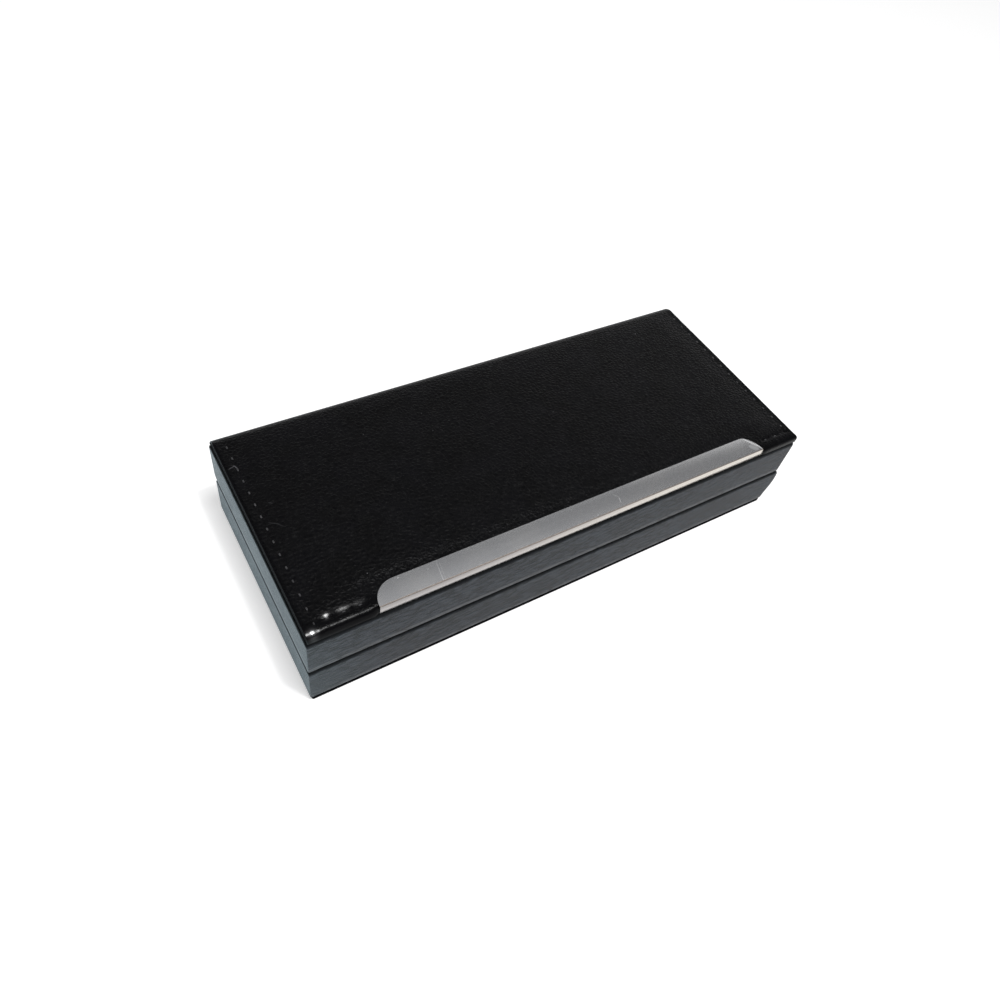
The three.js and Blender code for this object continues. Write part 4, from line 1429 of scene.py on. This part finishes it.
for node, name, body, slot, finish, edge in rigidPieces:
    piece = placePiece(copyNode(node, name, edge), body, slot, finish, node)
    if node == "cover_board":
        cutAway(piece, addBlock("frontCutter", (-far, -far, 0), (far, boardLow.y + boardTrim, far)))
        cutAway(piece, addBlock("leftCutter", (-far, -far, 0), (boardLow.x + boardTrim, far, far)))
        cutAway(piece, addBlock("rightCutter", (boardHigh.x - boardTrim, -far, 0), (far, far, far)))
print("rigid pieces made,", len(rigidPieces))


# floor, light and camera

def makeFloor():
    look = {
        "colour": (0.86, 0.86, 0.86, 1),
        "seen": (0.52, 0.52, 0.52, 1),
        "mirrored": (0.22, 0.22, 0.22, 1),
        # painted bluish glow for mirror rays, left of the case
        "paintedBluishGlow": (0.7, 0.92, 1.0, 1),
        "paintedGlowFrom": -60 * mm,
        "paintedGlowTo": -105 * mm,
    }
    clearSelection()
    bpy.ops.mesh.primitive_plane_add(size=8, location=(0, 0, -0.02 * mm))
    floor = bpy.context.active_object
    floor.name = "floor"
    bpy.ops.object.transform_apply(location=True, rotation=True, scale=True)
    material = bpy.data.materials.new("floorPaper")
    material.use_nodes = True
    tree = material.node_tree
    tree.nodes.clear()
    diffuse = tree.nodes.new("ShaderNodeBsdfDiffuse")
    diffuse.inputs["Color"].default_value = look["colour"]
    glow = tree.nodes.new("ShaderNodeEmission")
    x = splitVector(tree, tree.nodes.new("ShaderNodeTexCoord").outputs["Object"])[0]
    # painted light: for mirror rays the floor glows bluish to the left of the case, standing in for window light
    # that the left walls reflect
    inPaintedGlow = remap(tree, x, look["paintedGlowFrom"], look["paintedGlowTo"])
    mirrored = mixColour(tree, inPaintedGlow, look["mirrored"], look["paintedBluishGlow"])
    mirror, seen = directRays(tree)
    feed(tree, glow.inputs["Color"], mixColour(tree, mirror, look["seen"], mirrored))
    feed(tree, glow.inputs["Strength"], seen)
    both = tree.nodes.new("ShaderNodeAddShader")
    tree.links.new(diffuse.outputs[0], both.inputs[0])
    tree.links.new(glow.outputs[0], both.inputs[1])
    output = tree.nodes.new("ShaderNodeOutputMaterial")
    tree.links.new(both.outputs[0], output.inputs["Surface"])
    floor.data.materials.append(material)


def makeWorld():
    look = {
        "white": (1, 1, 1, 1),
        "walls": (0.225, 0.226, 0.23, 1),
        "ceiling": (0.36, 0.361, 0.367, 1),
        "wallsHeight": (0.2, 0.5),
        "ceilingHeight": (0.6, 0.95),
        "fill": 0.45,
    }
    world = bpy.data.worlds.new("studio")
    world.use_nodes = True
    bpy.context.scene.world = world
    tree = world.node_tree
    background = tree.nodes["Background"]
    upward = splitVector(tree, tree.nodes.new("ShaderNodeTexCoord").outputs["Generated"])[2]
    walls = mixColour(tree, remap(tree, upward, *look["wallsHeight"]), look["white"], look["walls"])
    upper = remap(tree, upward, *look["ceilingHeight"])
    feed(tree, background.inputs["Color"], mixColour(tree, upper, walls, look["ceiling"]))
    seen = directRays(tree)[1]
    feed(tree, background.inputs["Strength"], remap(tree, seen, 0.0, 1.0, look["fill"], 1.0, smooth=False))


lamps = {
    "key": {"place": (0.1, -0.33, 1.4), "aim": (0, 0, 0), "size": (0.35, 0.35), "power": 9.5},
    "keyCore": {"place": (0.098, -0.336, 1.18), "aim": (0, 0, 0), "size": (0.05, 0.05), "power": 2.2},
    "side": {"place": (-1.2, 0.55, 0.4), "aim": (0, 0, 0.02), "size": (0.9, 0.35), "power": 1.6},
}


def addLamp(name, look):
    lamp = bpy.data.lights.new(name, "AREA")
    lamp.shape = "RECTANGLE"
    lamp.size, lamp.size_y = look["size"]
    lamp.energy = look["power"]
    holder = bpy.data.objects.new(name, lamp)
    bpy.context.scene.collection.objects.link(holder)
    holder.location = look["place"]
    holder.rotation_euler = (Vector(look["aim"]) - Vector(look["place"])).to_track_quat("-Z", "Y").to_euler()


def makeCamera():
    look = {
        "lens": 28.682,
        "place": (-0.116903, -0.130487, 0.215221),
        "turn": (0.672583, -0.144144, -0.535229),
    }
    camera = bpy.data.cameras.new("camera")
    camera.lens = look["lens"]
    camera.sensor_width = 36
    camera.clip_start, camera.clip_end = 0.005, 50
    holder = bpy.data.objects.new("camera", camera)
    bpy.context.scene.collection.objects.link(holder)
    holder.location = look["place"]
    holder.rotation_euler = look["turn"]
    bpy.context.scene.camera = holder


makeFloor()
makeWorld()
for name, look in lamps.items():
    addLamp(name, look)
makeCamera()
bpy.context.scene.view_settings.view_transform = "Standard"
print("floor, lights and camera made")
